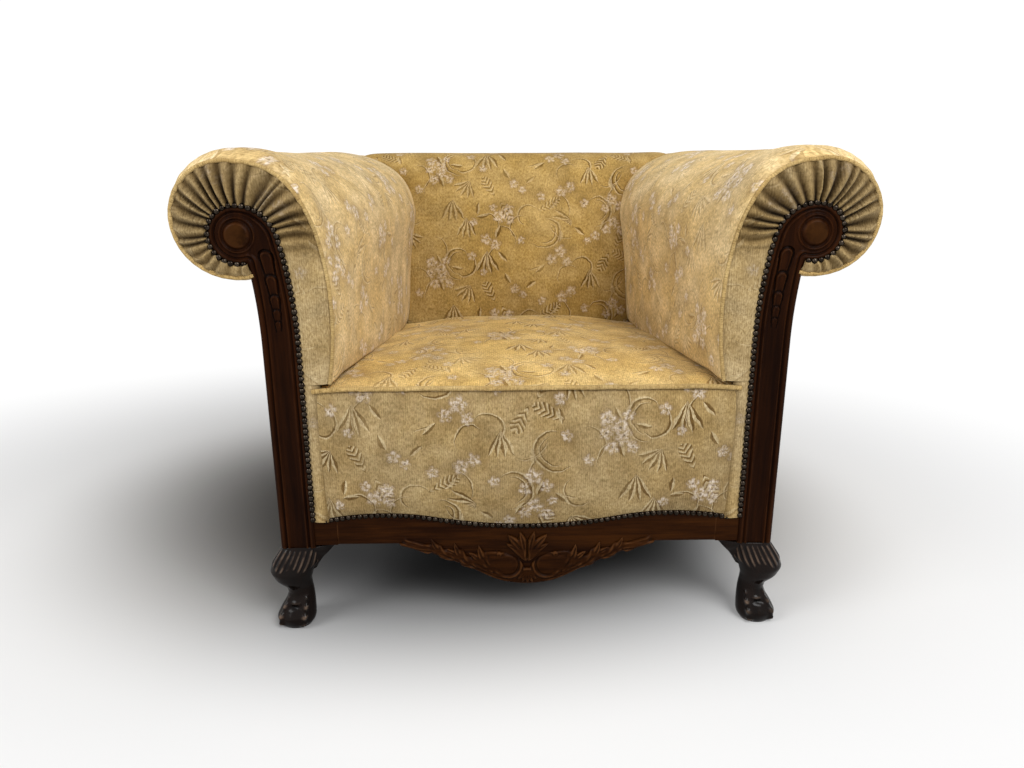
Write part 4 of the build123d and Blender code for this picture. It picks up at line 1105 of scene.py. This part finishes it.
def post_piece(side, tag):
    """Swept post with edge beads, sunken field, husk drops and a scroll with its boss."""
    stem_in, head = post_edges(POST_LOW)
    outer_sweep = tangent_arc([POST_OUT, SWEEP_Z], [0, 1], head[-1], 40)[0]
    stem_out = chain(np.linspace([POST_OUT, POST_LOW], [POST_OUT, SWEEP_Z], 60), outer_sweep)
    outline = [np.concatenate([[[x, 60.0]], line]) for x, line in ((POST_IN, stem_in), (POST_OUT, stem_out))]
    outline.append(head)
    head_line = resample(head, 190)
    a, b = resample(stem_in, 230), resample(stem_out, 230)
    t = np.linspace(0, 1, 51)[:, None]
    stem = a[:, None] * (1 - t) + b[:, None] * t
    round_edge = chain(head_line, stem[-1][::-1])
    ring_share = 1 - np.concatenate([np.linspace(0, 0.12, 14), np.linspace(0.14, 1, 46)])
    polar = SCROLL + ring_share[:, None, None] * (round_edge[:-1] - SCROLL)

    def relief(flat):
        """Depth of the carved face: edge round, hollow, bead and sunken field, then scroll and husks."""
        p = flat.reshape(-1, 2)
        x, z = p.T
        e = np.min([edge_distance(p, line) for line in outline], axis=0)
        y = 2.4 * unit(1 - e / 2.6) ** 2 - 1.1 * hump(e, 5.2, 2.6) + 2.6 * hump(e, 9.6, 1.9)
        y += 1.8 * unit((e - 14.0) / 2.5) - 0.9 * hump(e, 13.2, 1.7)
        r = np.linalg.norm(p - SCROLL, axis=1)
        boss = -4.6 * unit((BOSS_R - r) / 4.5) ** 0.5 - 1.6 * unit(1 - (r / 18) ** 2)
        ring = -2.4 * hump(r, RING_R, 2.0) ** 0.7
        around = unit((EYE_R - r) / 4)
        y = y * (1 - around) + (1.4 + np.where(r < BOSS_R, boss, 0) + ring) * around
        off = x - np.interp(z, a[:, 1], (a[:, 0] + b[:, 0]) / 2)
        ends = [top for top, half in HUSKS[1:]] + [HUSK_END]
        for (top, half), end in zip(HUSKS, ends):
            down = (top - z) / (top - end)
            over = np.maximum(z - (top - half), 0)
            q = np.hypot(off / (1 - 0.3 * unit(down)), over) / half
            cup = 1.2 * np.sqrt(unit(1 - q**2)) + 2.6 * bell(q, 0.78, 0.17)
            husk = 2.0 - cup * unit(1.15 - down) + 2.2 * bell(q, 1.2, 0.16)
            y = np.where((down > -0.3) & (down < 1.1) & (q < 1.38), husk, y)
        return y.reshape(flat.shape[:-1])

    skin = Skin()
    for flat in (stem, polar):
        x, z = flat[..., 0], flat[..., 1]
        y = relief(flat)
        # Painted shade in the sunken parts; raised parts lighter, partly wear and partly painted highlight
        marks = np.where(y > 0.6, (y - 0.6) / 3.0, (y - 0.6) / 4.5)
        skin.grid(coords(x, y, z), loop=flat is polar, marks=marks)
        skin.grid(coords(x, POST_DEEP, z), loop=flat is polar)
    rim = chain(stem[0][::-1], a, head_line, b[::-1])[:-1]
    depths = [relief(rim)] + list(np.linspace(2.6, POST_DEEP, 9))
    skin.grid(np.array([coords(rim[:, 0], d, rim[:, 1]) for d in depths]), loop=True)
    obj = skin.make("carved_post_" + tag, merge=0.01)
    to_side(obj, side)
    finish_piece(obj, post_wood, "show_wood", "front_post_" + tag)
    obj.data.materials.append(eye_wood)
    middle = np.empty(len(obj.data.polygons) * 3)
    obj.data.polygons.foreach_get("center", middle)
    x, y, z = from_row(middle.reshape(-1, 3)).T
    on_boss = (np.hypot(np.abs(x) - SCROLL[0], z - SCROLL[1]) < 15.5) & (y < 5)
    obj.data.polygons.foreach_set("material_index", on_boss.astype(np.int32))


for side, tag in SIDES:
    post_piece(side, tag)


# Front rail and its carving
def apron_low(x):
    """Lower edge of the rail and apron at x."""
    x = np.abs(x)
    tip, end, half, width = FRAME_LOW - 77.0, FRAME_LOW - 59.0, 70.0, 210.0
    radius = (half**2 + (end - tip)**2) / (2 * (end - tip))
    belly = tip + radius - np.sqrt(np.maximum(radius**2 - np.minimum(x, half)**2, 0))
    slope = half / (radius - (end - tip))
    arc = tangent_arc([half, end], [1, slope], [width, FRAME_LOW], 60)[0]
    flank = np.interp(x, arc[:, 0], arc[:, 1])
    return np.where(x <= half, belly, np.where(x <= width, flank, FRAME_LOW))


def leaf_relief(x, z, tail, tip, width, height, bend=0.0, veins=0):
    """Height of one carved leaf with a midrib, optionally bent and veined."""
    tail = np.asarray(tail, float)
    way = np.asarray(tip, float) - tail
    long = np.linalg.norm(way)
    way /= long
    u = ((x - tail[0]) * way[0] + (z - tail[1]) * way[1]) / long
    v = -(x - tail[0]) * way[1] + (z - tail[1]) * way[0]
    v = v - bend * (4 * u * (1 - u))
    w = width / 2 * np.sin(math.pi * unit(u) ** 0.7) ** 0.8
    if veins:
        w = w * (0.88 + 0.12 * np.cos(2 * math.pi * veins * u))
    q = np.abs(v) / np.maximum(w, 0.05)
    h = height * np.sqrt(unit(1 - q**2)) ** 0.8 - 0.45 * height * bell(v, 0, 0.07 * width)
    if veins:
        h = h - 0.10 * height * (1 - np.cos(2 * math.pi * (veins * u - 0.7 * q)))
    return np.where((u > 0) & (u < 1) & (q < 1), np.maximum(h, 0.15 * height), 0)


def carving(x, z):
    """Height of the carved work over the face of the rail."""
    right = np.abs(x)
    low = apron_low(x)
    over = (z - low) * 0.88
    wide = 20 - 9 * ease(right, 60, 200)
    band = 5.4 * hump(over, wide / 2 + 1, wide / 2) ** 0.45 - 0.8 * (1 + np.cos(over / wide * 6 * math.pi))
    h = np.maximum(band, 0) * ease(right, 22, 40) * ease(right, 208, 196)
    leaves = [
        ((50, 98), (81, 147), 26, 7.5, -7, 3), ((64, 99), (98, 134), 20, 6.5, 4, 3),
        ((84, 106), (121, 152), 24, 7.2, -7, 3), ((100, 112), (137, 141), 18, 6.2, 4, 3),
        ((120, 122), (159, 159), 22, 6.8, -6, 3), ((138, 129), (178, 150), 16, 6.0, 3, 3),
        ((158, 138), (212, 152), 22, 7.0, -3, 0),
    ]
    for tail, tip, width, height, bend, veins in leaves:
        h = np.maximum(h, leaf_relief(right, z, tail, tip, width, height, bend, veins))
    # Lobe beside the palmette, with a bead round its eye and a curl over it
    eye_x, eye_z = 32, 112
    r = np.hypot(right - eye_x, (z - eye_z) * 0.94)
    turn = np.arctan2(z - eye_z, eye_x - right)
    lobe = np.hypot((right - 44 - 0.3 * (z - eye_z)) / 38, (z - 110 - 0.12 * (right - 44)) / 25)
    lines = np.cos((lobe - 0.35) * 17) * ease(right, 34, 52) * ease(lobe, 0.3, 0.5)
    body = 6.2 * unit(1 - lobe**2) ** 0.4 - 0.7 * lines
    body = body * (1 - 0.45 * ease(right, 52, 80))
    bead = np.cos(np.clip((turn + 0.2) / 2.5, -1, 1) * math.pi / 2) ** 0.5
    body += bead * (2.6 * bell(r, 22.5, 1.9) - 2.2 * bell(r, 18, 1.9))
    body = np.where(lobe < 1, np.maximum(body, 0.4), 0)
    h = np.where((lobe < 1) & (right < 58), body, np.maximum(h, body))
    curl = np.hypot(right - 47, z - 130)
    h = np.maximum(h, 6.4 * unit(1 - (curl / 6.0) ** 2) ** 0.5 - 1.6 * bell(curl, 0, 1.8))
    h = np.where(right < 4.5, h * 0.3, h)
    # Palmette above the tie and the small leaves below it
    for out, up, wide, bend in ((36, 150, 15, 4), (33, 166, 22, 4), (12, 172, 18, 1)):
        h = np.maximum(h, leaf_relief(right, z, (0, 119), (out, up), wide, 8.0 - out / 40, bend))
    h = np.where((right < 1.6) & (z > 124), h * 0.4, h)
    for i in range(7):
        turn = math.radians(-90 + (i - 3) * 25)
        tip = (22 * math.cos(turn), 98 + 24 * math.sin(turn))
        h = np.maximum(h, leaf_relief(x, z, (0, 100), tip, 8.5, 5.6))
    tie = np.where(right < 7, 5.4 * hump(z, 102, 3.6) ** 0.5, 0)
    return np.maximum(h, tie)


def blurred(field, reach):
    """Mean of a field over a square of cells."""
    for axis in (0, 1):
        field = np.mean([np.roll(field, i, axis) for i in range(-reach, reach + 1)], axis=0)
    return field


def rail_piece():
    """Front rail with its drop apron, rounded along the lower edge."""
    x = np.linspace(-BLOCK_IN, BLOCK_IN, 253)
    s = np.concatenate([[0, 0.012, 0.03, 0.06], np.linspace(0.1, 1, 26)])
    low = apron_low(x)
    z = low + s[:, None] * (FRAME_TOP - low)
    y = RAIL_FACE + 2.6 * unit(1 - (z - low) / 3.2) ** 2
    y = y + 1.1 * hump(z - low, 9.0, 1.6) * unit((np.abs(x) - 190) / 20)
    skin = Skin()
    skin.slab(coords(x, y, z), coords(x, POST_DEEP, z))
    finish_piece(skin.make("shaped_front_rail", merge=0.01), rail_wood, "show_wood", "front_rail")


def carving_piece():
    """Acanthus carving as a relief over the apron."""
    gx, gz = np.meshgrid(np.arange(-214, 214.5, 0.9), np.arange(71, 178, 0.9), indexing="ij")
    h = np.where(gz < apron_low(gx) - 1.5, 0, carving(gx, gz))
    solid = h > 0.05
    near = blurred(solid.astype(float), 1) > 0
    keep = near[:-1, :-1] & near[1:, :-1] & near[:-1, 1:] & near[1:, 1:]
    y = np.where(solid, RAIL_FACE - blurred(h, 1), RAIL_FACE + 0.8)
    # Painted shade where the carving lies below its surroundings and all round its edges; higher parts
    # lighter, partly wear and partly painted highlight
    marks = np.clip((blurred(h, 4) - h) / 1.6, -1, 1)
    skin = Skin()
    skin.grid(coords(gx, y, gz), keep=keep, marks=np.where(solid, marks, 1.0))
    obj = skin.make("apron_acanthus", outward=False)
    finish_piece(obj, rail_wood, "show_wood", "apron_carving")


rail_piece()
carving_piece()


# Feet
# Stations of the foot: height, outer side and inner side; and of its bracket: height and end
FOOT = np.array([
    (0, 417, 370), (6, 425, 364), (15, 427.5, 361.5), (30, 420, 361.5), (46, 410, 362.5), (58, 406, 363.5),
    (70, 409, 364.7), (84, 424, 364.5), (100, 432, 359.5), (118, 426, 350), (146, 407, 350)])
WING = np.array([(105, 354), (121, 343), (145.5, 320)])


def foot_piece(side, tag):
    """Cabriole foot with a reeded knee, claws round a ball and a bracket to the rail."""
    z = np.linspace(0, POST_LOW, 190)
    soft = np.hanning(19)[1:-1] / np.hanning(19).sum()
    out, inn = [np.convolve(np.pad(np.interp(z, FOOT[:, 0], FOOT[:, i]), 8, mode="edge"), soft, "valid")
                for i in (1, 2)]
    front, rear = 0.6 * (POST_OUT - out), np.minimum(POST_OUT - inn, POST_DEEP)
    turn = np.linspace(0, 2 * math.pi, 240, endpoint=False)[None]
    power = (1 - 0.35 * ease(z, 100, POST_LOW))[:, None]
    c, s = np.cos(turn), np.sin(turn)
    dx = np.sign(c) * np.abs(c) ** power * ((out - inn) / 2)[:, None]
    dy = np.sign(s) * np.abs(s) ** power * ((rear - front) / 2)[:, None]
    facing = np.arctan2(dx, -dy)
    up = z[:, None]
    grow = np.zeros_like(facing)
    marks = np.zeros_like(facing)
    # Claws: where each faces in degrees and how far it stands out; knuckles lie 16 mm apart. Their ridges are
    # painted lighter, as highlight
    knuckle = np.cos((up - 6) * 2 * math.pi / 16)
    for at, tall in ((45, 4.6), (-33, 5.0), (172, 2.5)):
        off = (facing - math.radians(at) + math.pi) % (2 * math.pi) - math.pi
        ridge = bell(off, 0, 0.18) * ease(up, 1, 9) * ease(up, 60, 44)
        grow += ridge * (tall + 1.6 * knuckle)
        marks -= 0.6 * ridge * (0.4 + knuckle)
    # Ball in front, the groove over it and the ankle ring; the groove is painted darker as shade and the ring
    # lighter as highlight
    ahead = bell(facing, math.radians(8), 0.42)
    grow += ahead * (2.6 * bell(up, 20, 8) - 3.6 * bell(up, 37, 3.5) + 2.6 * bell(up, 45, 3.5))
    marks += ahead * (0.8 * bell(up, 37, 3.5) - 0.5 * bell(up, 45, 3))
    # Reeds on the knee: valleys painted darker as shade, ridges lighter, partly wear and partly painted
    # highlight
    tips = 106 + 4 * np.cos(facing * 5)
    knee = ease(up, tips, tips + 7) * ease(up, 145, 139)
    reed = np.abs(np.sin(facing * 10 + (up - 120) * 0.035))
    grow += knee * (1.9 * reed ** 0.7 - 1.0)
    marks += knee * (0.9 - 1.5 * reed)
    swell = 1 + grow / np.maximum(np.hypot(dx, dy), 1)
    x = ((out + inn) / 2)[:, None] + dx * swell
    y = ((front + rear) / 2)[:, None] + dy * swell
    skin = Skin()
    skin.tube(coords(x, np.maximum(y, -30), up), marks=marks)
    level = np.linspace(103, 145.5, 40)[:, None]
    share = np.linspace(0, 1, 14)
    wide = 366 + (np.interp(level, WING[:, 0], WING[:, 1]) - 366) * share
    lead = 4 + 11 * share ** 2 + 1.2 * np.sin(level / 3 + 5 * share) * ease(level, 118, 128)
    skin.slab(coords(wide, lead, level), coords(wide, 40, level))
    obj = skin.make("claw_foot_" + tag, merge=0.01)
    to_side(obj, side)
    finish_piece(obj, foot_wood, "dark_foot", "front_foot_" + tag)


for side, tag in SIDES:
    foot_piece(side, tag)


# Nails
def nail_row(places, name, node, seed):
    """Domed heads at places given as x, y, z, each a little different."""
    local = np.random.default_rng(seed)
    skin = Skin()
    turn = np.linspace(0, 2 * math.pi, 12, endpoint=False)
    profile = np.array([[1.0, 0.6], [1.02, -0.2], [0.93, -1.3], [0.74, -2.5], [0.45, -3.3], [0.12, -3.6]])
    for place in places:
        size = NAIL_R * local.uniform(0.96, 1.06)
        tilt = local.normal(0, 0.07, 2)
        dx = size * profile[:, :1] * np.cos(turn)
        dz = size * profile[:, :1] * np.sin(turn)
        dy = profile[:, 1:] + tilt[0] * dx + tilt[1] * dz
        rows = coords(place[0] + dx, place[1] + dy, place[2] + dz)
        skin.grid(rows, loop=True)
        skin.cap(rows[-1])
    finish_piece(skin.make(name), brass, "antique_brass", node)


def along_line(line):
    """Even places along a line, half a step in from its ends."""
    travel = lengths(line)
    count = round(travel[-1] / NAIL_PITCH)
    return line_at((np.arange(count) + 0.5) / count * travel[-1], travel, line)


spots = along_line(chain(STEM_EDGE, HEAD_EDGE))
for side, tag in SIDES:
    nail_row([(side * x, 0.0, z) for x, z in spots], "nails_post_" + tag, "post_nails_" + tag, 31 + side)
across = np.linspace(-SEAT_HALF, SEAT_HALF, 700)
spots = along_line(coords(across, nail_line(across)))
nail_row([(x, RAIL_FACE, z) for x, z in spots], "nails_rail", "rail_nails", 40)


# Hidden cloths, straps and springs
def box_of(node):
    """Corners of a CAD node in millimetres from the post face."""
    low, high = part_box(node)
    return from_row(np.array(low)), from_row(np.array(high))


def level_sheet(name, node, material, slot):
    """A thin cloth stretched flat over the plan of a CAD node."""
    low, high = box_of(node)
    x, y = np.meshgrid(np.linspace(low[0], high[0], 40), np.linspace(low[1], high[1], 40), indexing="ij")
    top = coords(x, y, high[2] - 0.2)
    skin = Skin()
    skin.slab(top, top - [0, 0, 0.9])
    obj = finish_piece(skin.make(name, merge=0.01), material, slot, node)


def straps(name, node, boxes):
    """Woven straps, each a thin band along the longest side of its box."""
    skin = Skin()
    for low, high in boxes:
        size = high - low
        long, thin = int(np.argmax(size)), int(np.argmin(size))
        wide = 3 - long - thin
        t, s = np.linspace(0, 1, 36)[:, None], np.linspace(0, 1, 7)
        front = np.empty((len(t), len(s), 3))
        front[..., long] = low[long] + t * size[long]
        front[..., wide] = low[wide] + s * size[wide]
        front[..., thin] = low[thin] + 0.1 + 0.12 * np.sin(t * 40)
        back = front.copy()
        back[..., thin] += size[thin] - 0.35
        skin.slab(front, back)
    finish_piece(skin.make(name, merge=0.01), jute, "webbing_jute", node)


def islands(node):
    """Bounding boxes of the separate solids of a CAD node, in millimetres from the post face."""
    bm = bmesh.new()
    bm.from_mesh(frame["nodes"][node].data)
    boxes = []
    seen = set()
    for vertex in bm.verts:
        if vertex in seen:
            continue
        group, todo = [], [vertex]
        seen.add(vertex)
        while todo:
            at = todo.pop()
            group.append(tuple(at.co))
            for edge in at.link_edges:
                other = edge.other_vert(at)
                if other not in seen:
                    seen.add(other)
                    todo.append(other)
        points = from_row(np.array(group))
        boxes.append((points.min(axis=0), points.max(axis=0)))
    bm.free()
    return boxes


def spring_piece():
    """Double-cone springs of round wire, tied on the webbing."""
    skin = Skin()
    for low, high in islands("seat_springs"):
        centre = (low + high) / 2
        t = np.linspace(0, 1, 130)
        turn = 2 * math.pi * 5 * t
        radius = 24 + 14 * np.abs(2 * t - 1)
        z = low[2] + 2.1 + t * (high[2] - low[2] - 4.2)
        path = coords(centre[0] + radius * np.cos(turn), centre[1] + radius * np.sin(turn), z)
        tube_skin(skin, path, 1.9, count=8)
    finish_piece(skin.make("coil_springs"), steel, "spring_steel", "seat_springs")


level_sheet("dust_cloth", "dust_cover", cambric, "black_cambric")
level_sheet("hessian_cloth", "seat_hessian", sacking, "hessian")
for node in ("seat_webbing", "arm_webbing_left", "arm_webbing_right"):
    straps(node + "_straps", node, islands(node))
spring_piece()


def back_straps():
    """Straps of the leaning back."""
    skin = Skin()
    for low, high in islands("back_webbing"):
        z = low[2] + np.linspace(0, 1, 30)[:, None] * (high[2] - low[2])
        x = low[0] + np.linspace(0, 1, 7) * (high[0] - low[0])
        rear = low[1] + (z - low[2]) * LEAN
        skin.slab(coords(x, rear + 0.2, z), coords(x, rear + 1.7, z))
    finish_piece(skin.make("back_webbing_straps", merge=0.01), jute, "webbing_jute", "back_webbing")


back_straps()


# Nodes that keep their CAD meshes
def dress(names, material, edge):
    """Gives CAD nodes a material and lightly rounded edges."""
    for name in names:
        obj = frame["nodes"][name]
        obj.data.materials.clear()
        obj.data.materials.append(material)
        bevel = obj.modifiers.new("edge", "BEVEL")
        bevel.width = edge / 1000
        bevel.segments = 3
        bevel.limit_method = "ANGLE"


for side, tag in SIDES[::-1]:
    dress(["rail_block_" + tag], block_wood, 1.2)
    dress(["back_post_" + tag], leg_wood, 1.5)
    dress(["side_rail_" + tag, "arm_rail_" + tag, "arm_tack_rail_" + tag], frame_wood, 1.0)
dress(["back_rail", "back_tack_rail", "crest_rail", "corner_blocks"], frame_wood, 1.0)


# Floor, light and camera
def floor_material():
    """Pale floor with a painted shadow under and left of the chair, that runs out into plain white away from
    it.
    """
    material, n, shader = new_material("floor_white_painted_shadow")
    at = n.place()

    def oval(shift, wide, deep):
        return n.vector("LENGTH", n.scaled(n.vector("ADD", at, shift), wide, deep, 1.0))

    away = n.step(oval((0.25, -0.1, 0.0), 0.75, 1.0), 0.4, 1.5)
    # Painted shadow: the floor goes dark under the chair and to its left
    near = n.step(oval((0.14, -0.1, 0.0), 1.25, 1.6), 1.28, 0.45)
    plain = n.mix(near, (0.76, 0.76, 0.76), (0.10, 0.10, 0.10))
    n.fill(shader, {"Base Color": n.mix(away, plain, (0.0, 0.0, 0.0)), "Roughness": 0.9,
                    "Specular IOR Level": 0.1, "Emission Color": (1, 1, 1, 1), "Emission Strength": away})
    return material


floor_mesh = bpy.data.meshes.new("floor")
floor_mesh.from_pydata([(-30, -20, 0), (30, -20, 0), (30, 40, 0), (-30, 40, 0)], [], [(0, 1, 2, 3)])
floor = bpy.data.objects.new("floor", floor_mesh)
floor_mesh.materials.append(floor_material())
scene.collection.objects.link(floor)

world = bpy.data.worlds.new("studio")
world.use_nodes = True
scene.world = world
w = Nodes(world.node_tree)
world.node_tree.nodes.clear()
rays = w.put("ShaderNodeLightPath")
shown = rays.outputs["Is Camera Ray"]
for kind in ("Is Glossy Ray", "Is Transmission Ray"):
    shown = w.math("MAXIMUM", shown, rays.outputs[kind])
level = w.mul_add(shown, 0.82, 0.23)
background = w.put("ShaderNodeBackground", {0: (1, 1, 1, 1), "Strength": level})
w.put("ShaderNodeOutputWorld", {0: background.outputs[0]})


def lamp(name, at, aim, size, power):
    """A soft rectangular lamp that looks at a point."""
    light = bpy.data.lights.new(name, "AREA")
    light.shape = "RECTANGLE"
    light.size, light.size_y = size
    light.energy = power
    obj = bpy.data.objects.new(name, light)
    obj.location = at
    obj.rotation_euler = (Vector(aim) - Vector(at)).to_track_quat("-Z", "Y").to_euler()
    scene.collection.objects.link(obj)


lamp("key", (1.3, -2.5, 2.6), (0, 0, 0.4), (1.9, 1.6), 92)
lamp("top", (0.4, 0.0, 3.2), (0, 0, 0), (2.0, 1.8), 28)
lamp("fill", (-2.3, -1.6, 1.9), (0.2, 0, 0.5), (1.4, 1.4), 40)

# Camera as fitted to the photo: its tilt, turn and roll, its place and its focal length in pixels
PITCH, YAW, ROLLED = (math.radians(a) for a in (16.237, 0.838, -0.277))
CAMERA_AT = Vector((-0.0409, -1.1503 + Y0, 0.7605))
FOCAL, PICTURE_WIDE, SENSOR = 770, 1024, 36
right = Vector((math.cos(YAW), -math.sin(YAW), 0))
ahead = Vector((math.sin(YAW), math.cos(YAW), 0))
forward = math.cos(PITCH) * ahead - math.sin(PITCH) * Vector((0, 0, 1))
upward = math.sin(PITCH) * ahead + math.cos(PITCH) * Vector((0, 0, 1))
across_r = math.cos(ROLLED) * right + math.sin(ROLLED) * upward
upward_r = -math.sin(ROLLED) * right + math.cos(ROLLED) * upward
camera_data = bpy.data.cameras.new("photo")
camera_data.sensor_width = SENSOR
camera_data.lens = FOCAL / PICTURE_WIDE * SENSOR
camera = bpy.data.objects.new("photo", camera_data)
turned = Matrix((across_r, upward_r, -forward)).transposed().to_4x4()
turned.translation = CAMERA_AT
camera.matrix_world = turned
scene.collection.objects.link(camera)
scene.camera = camera
scene.view_settings.view_transform = "Standard"
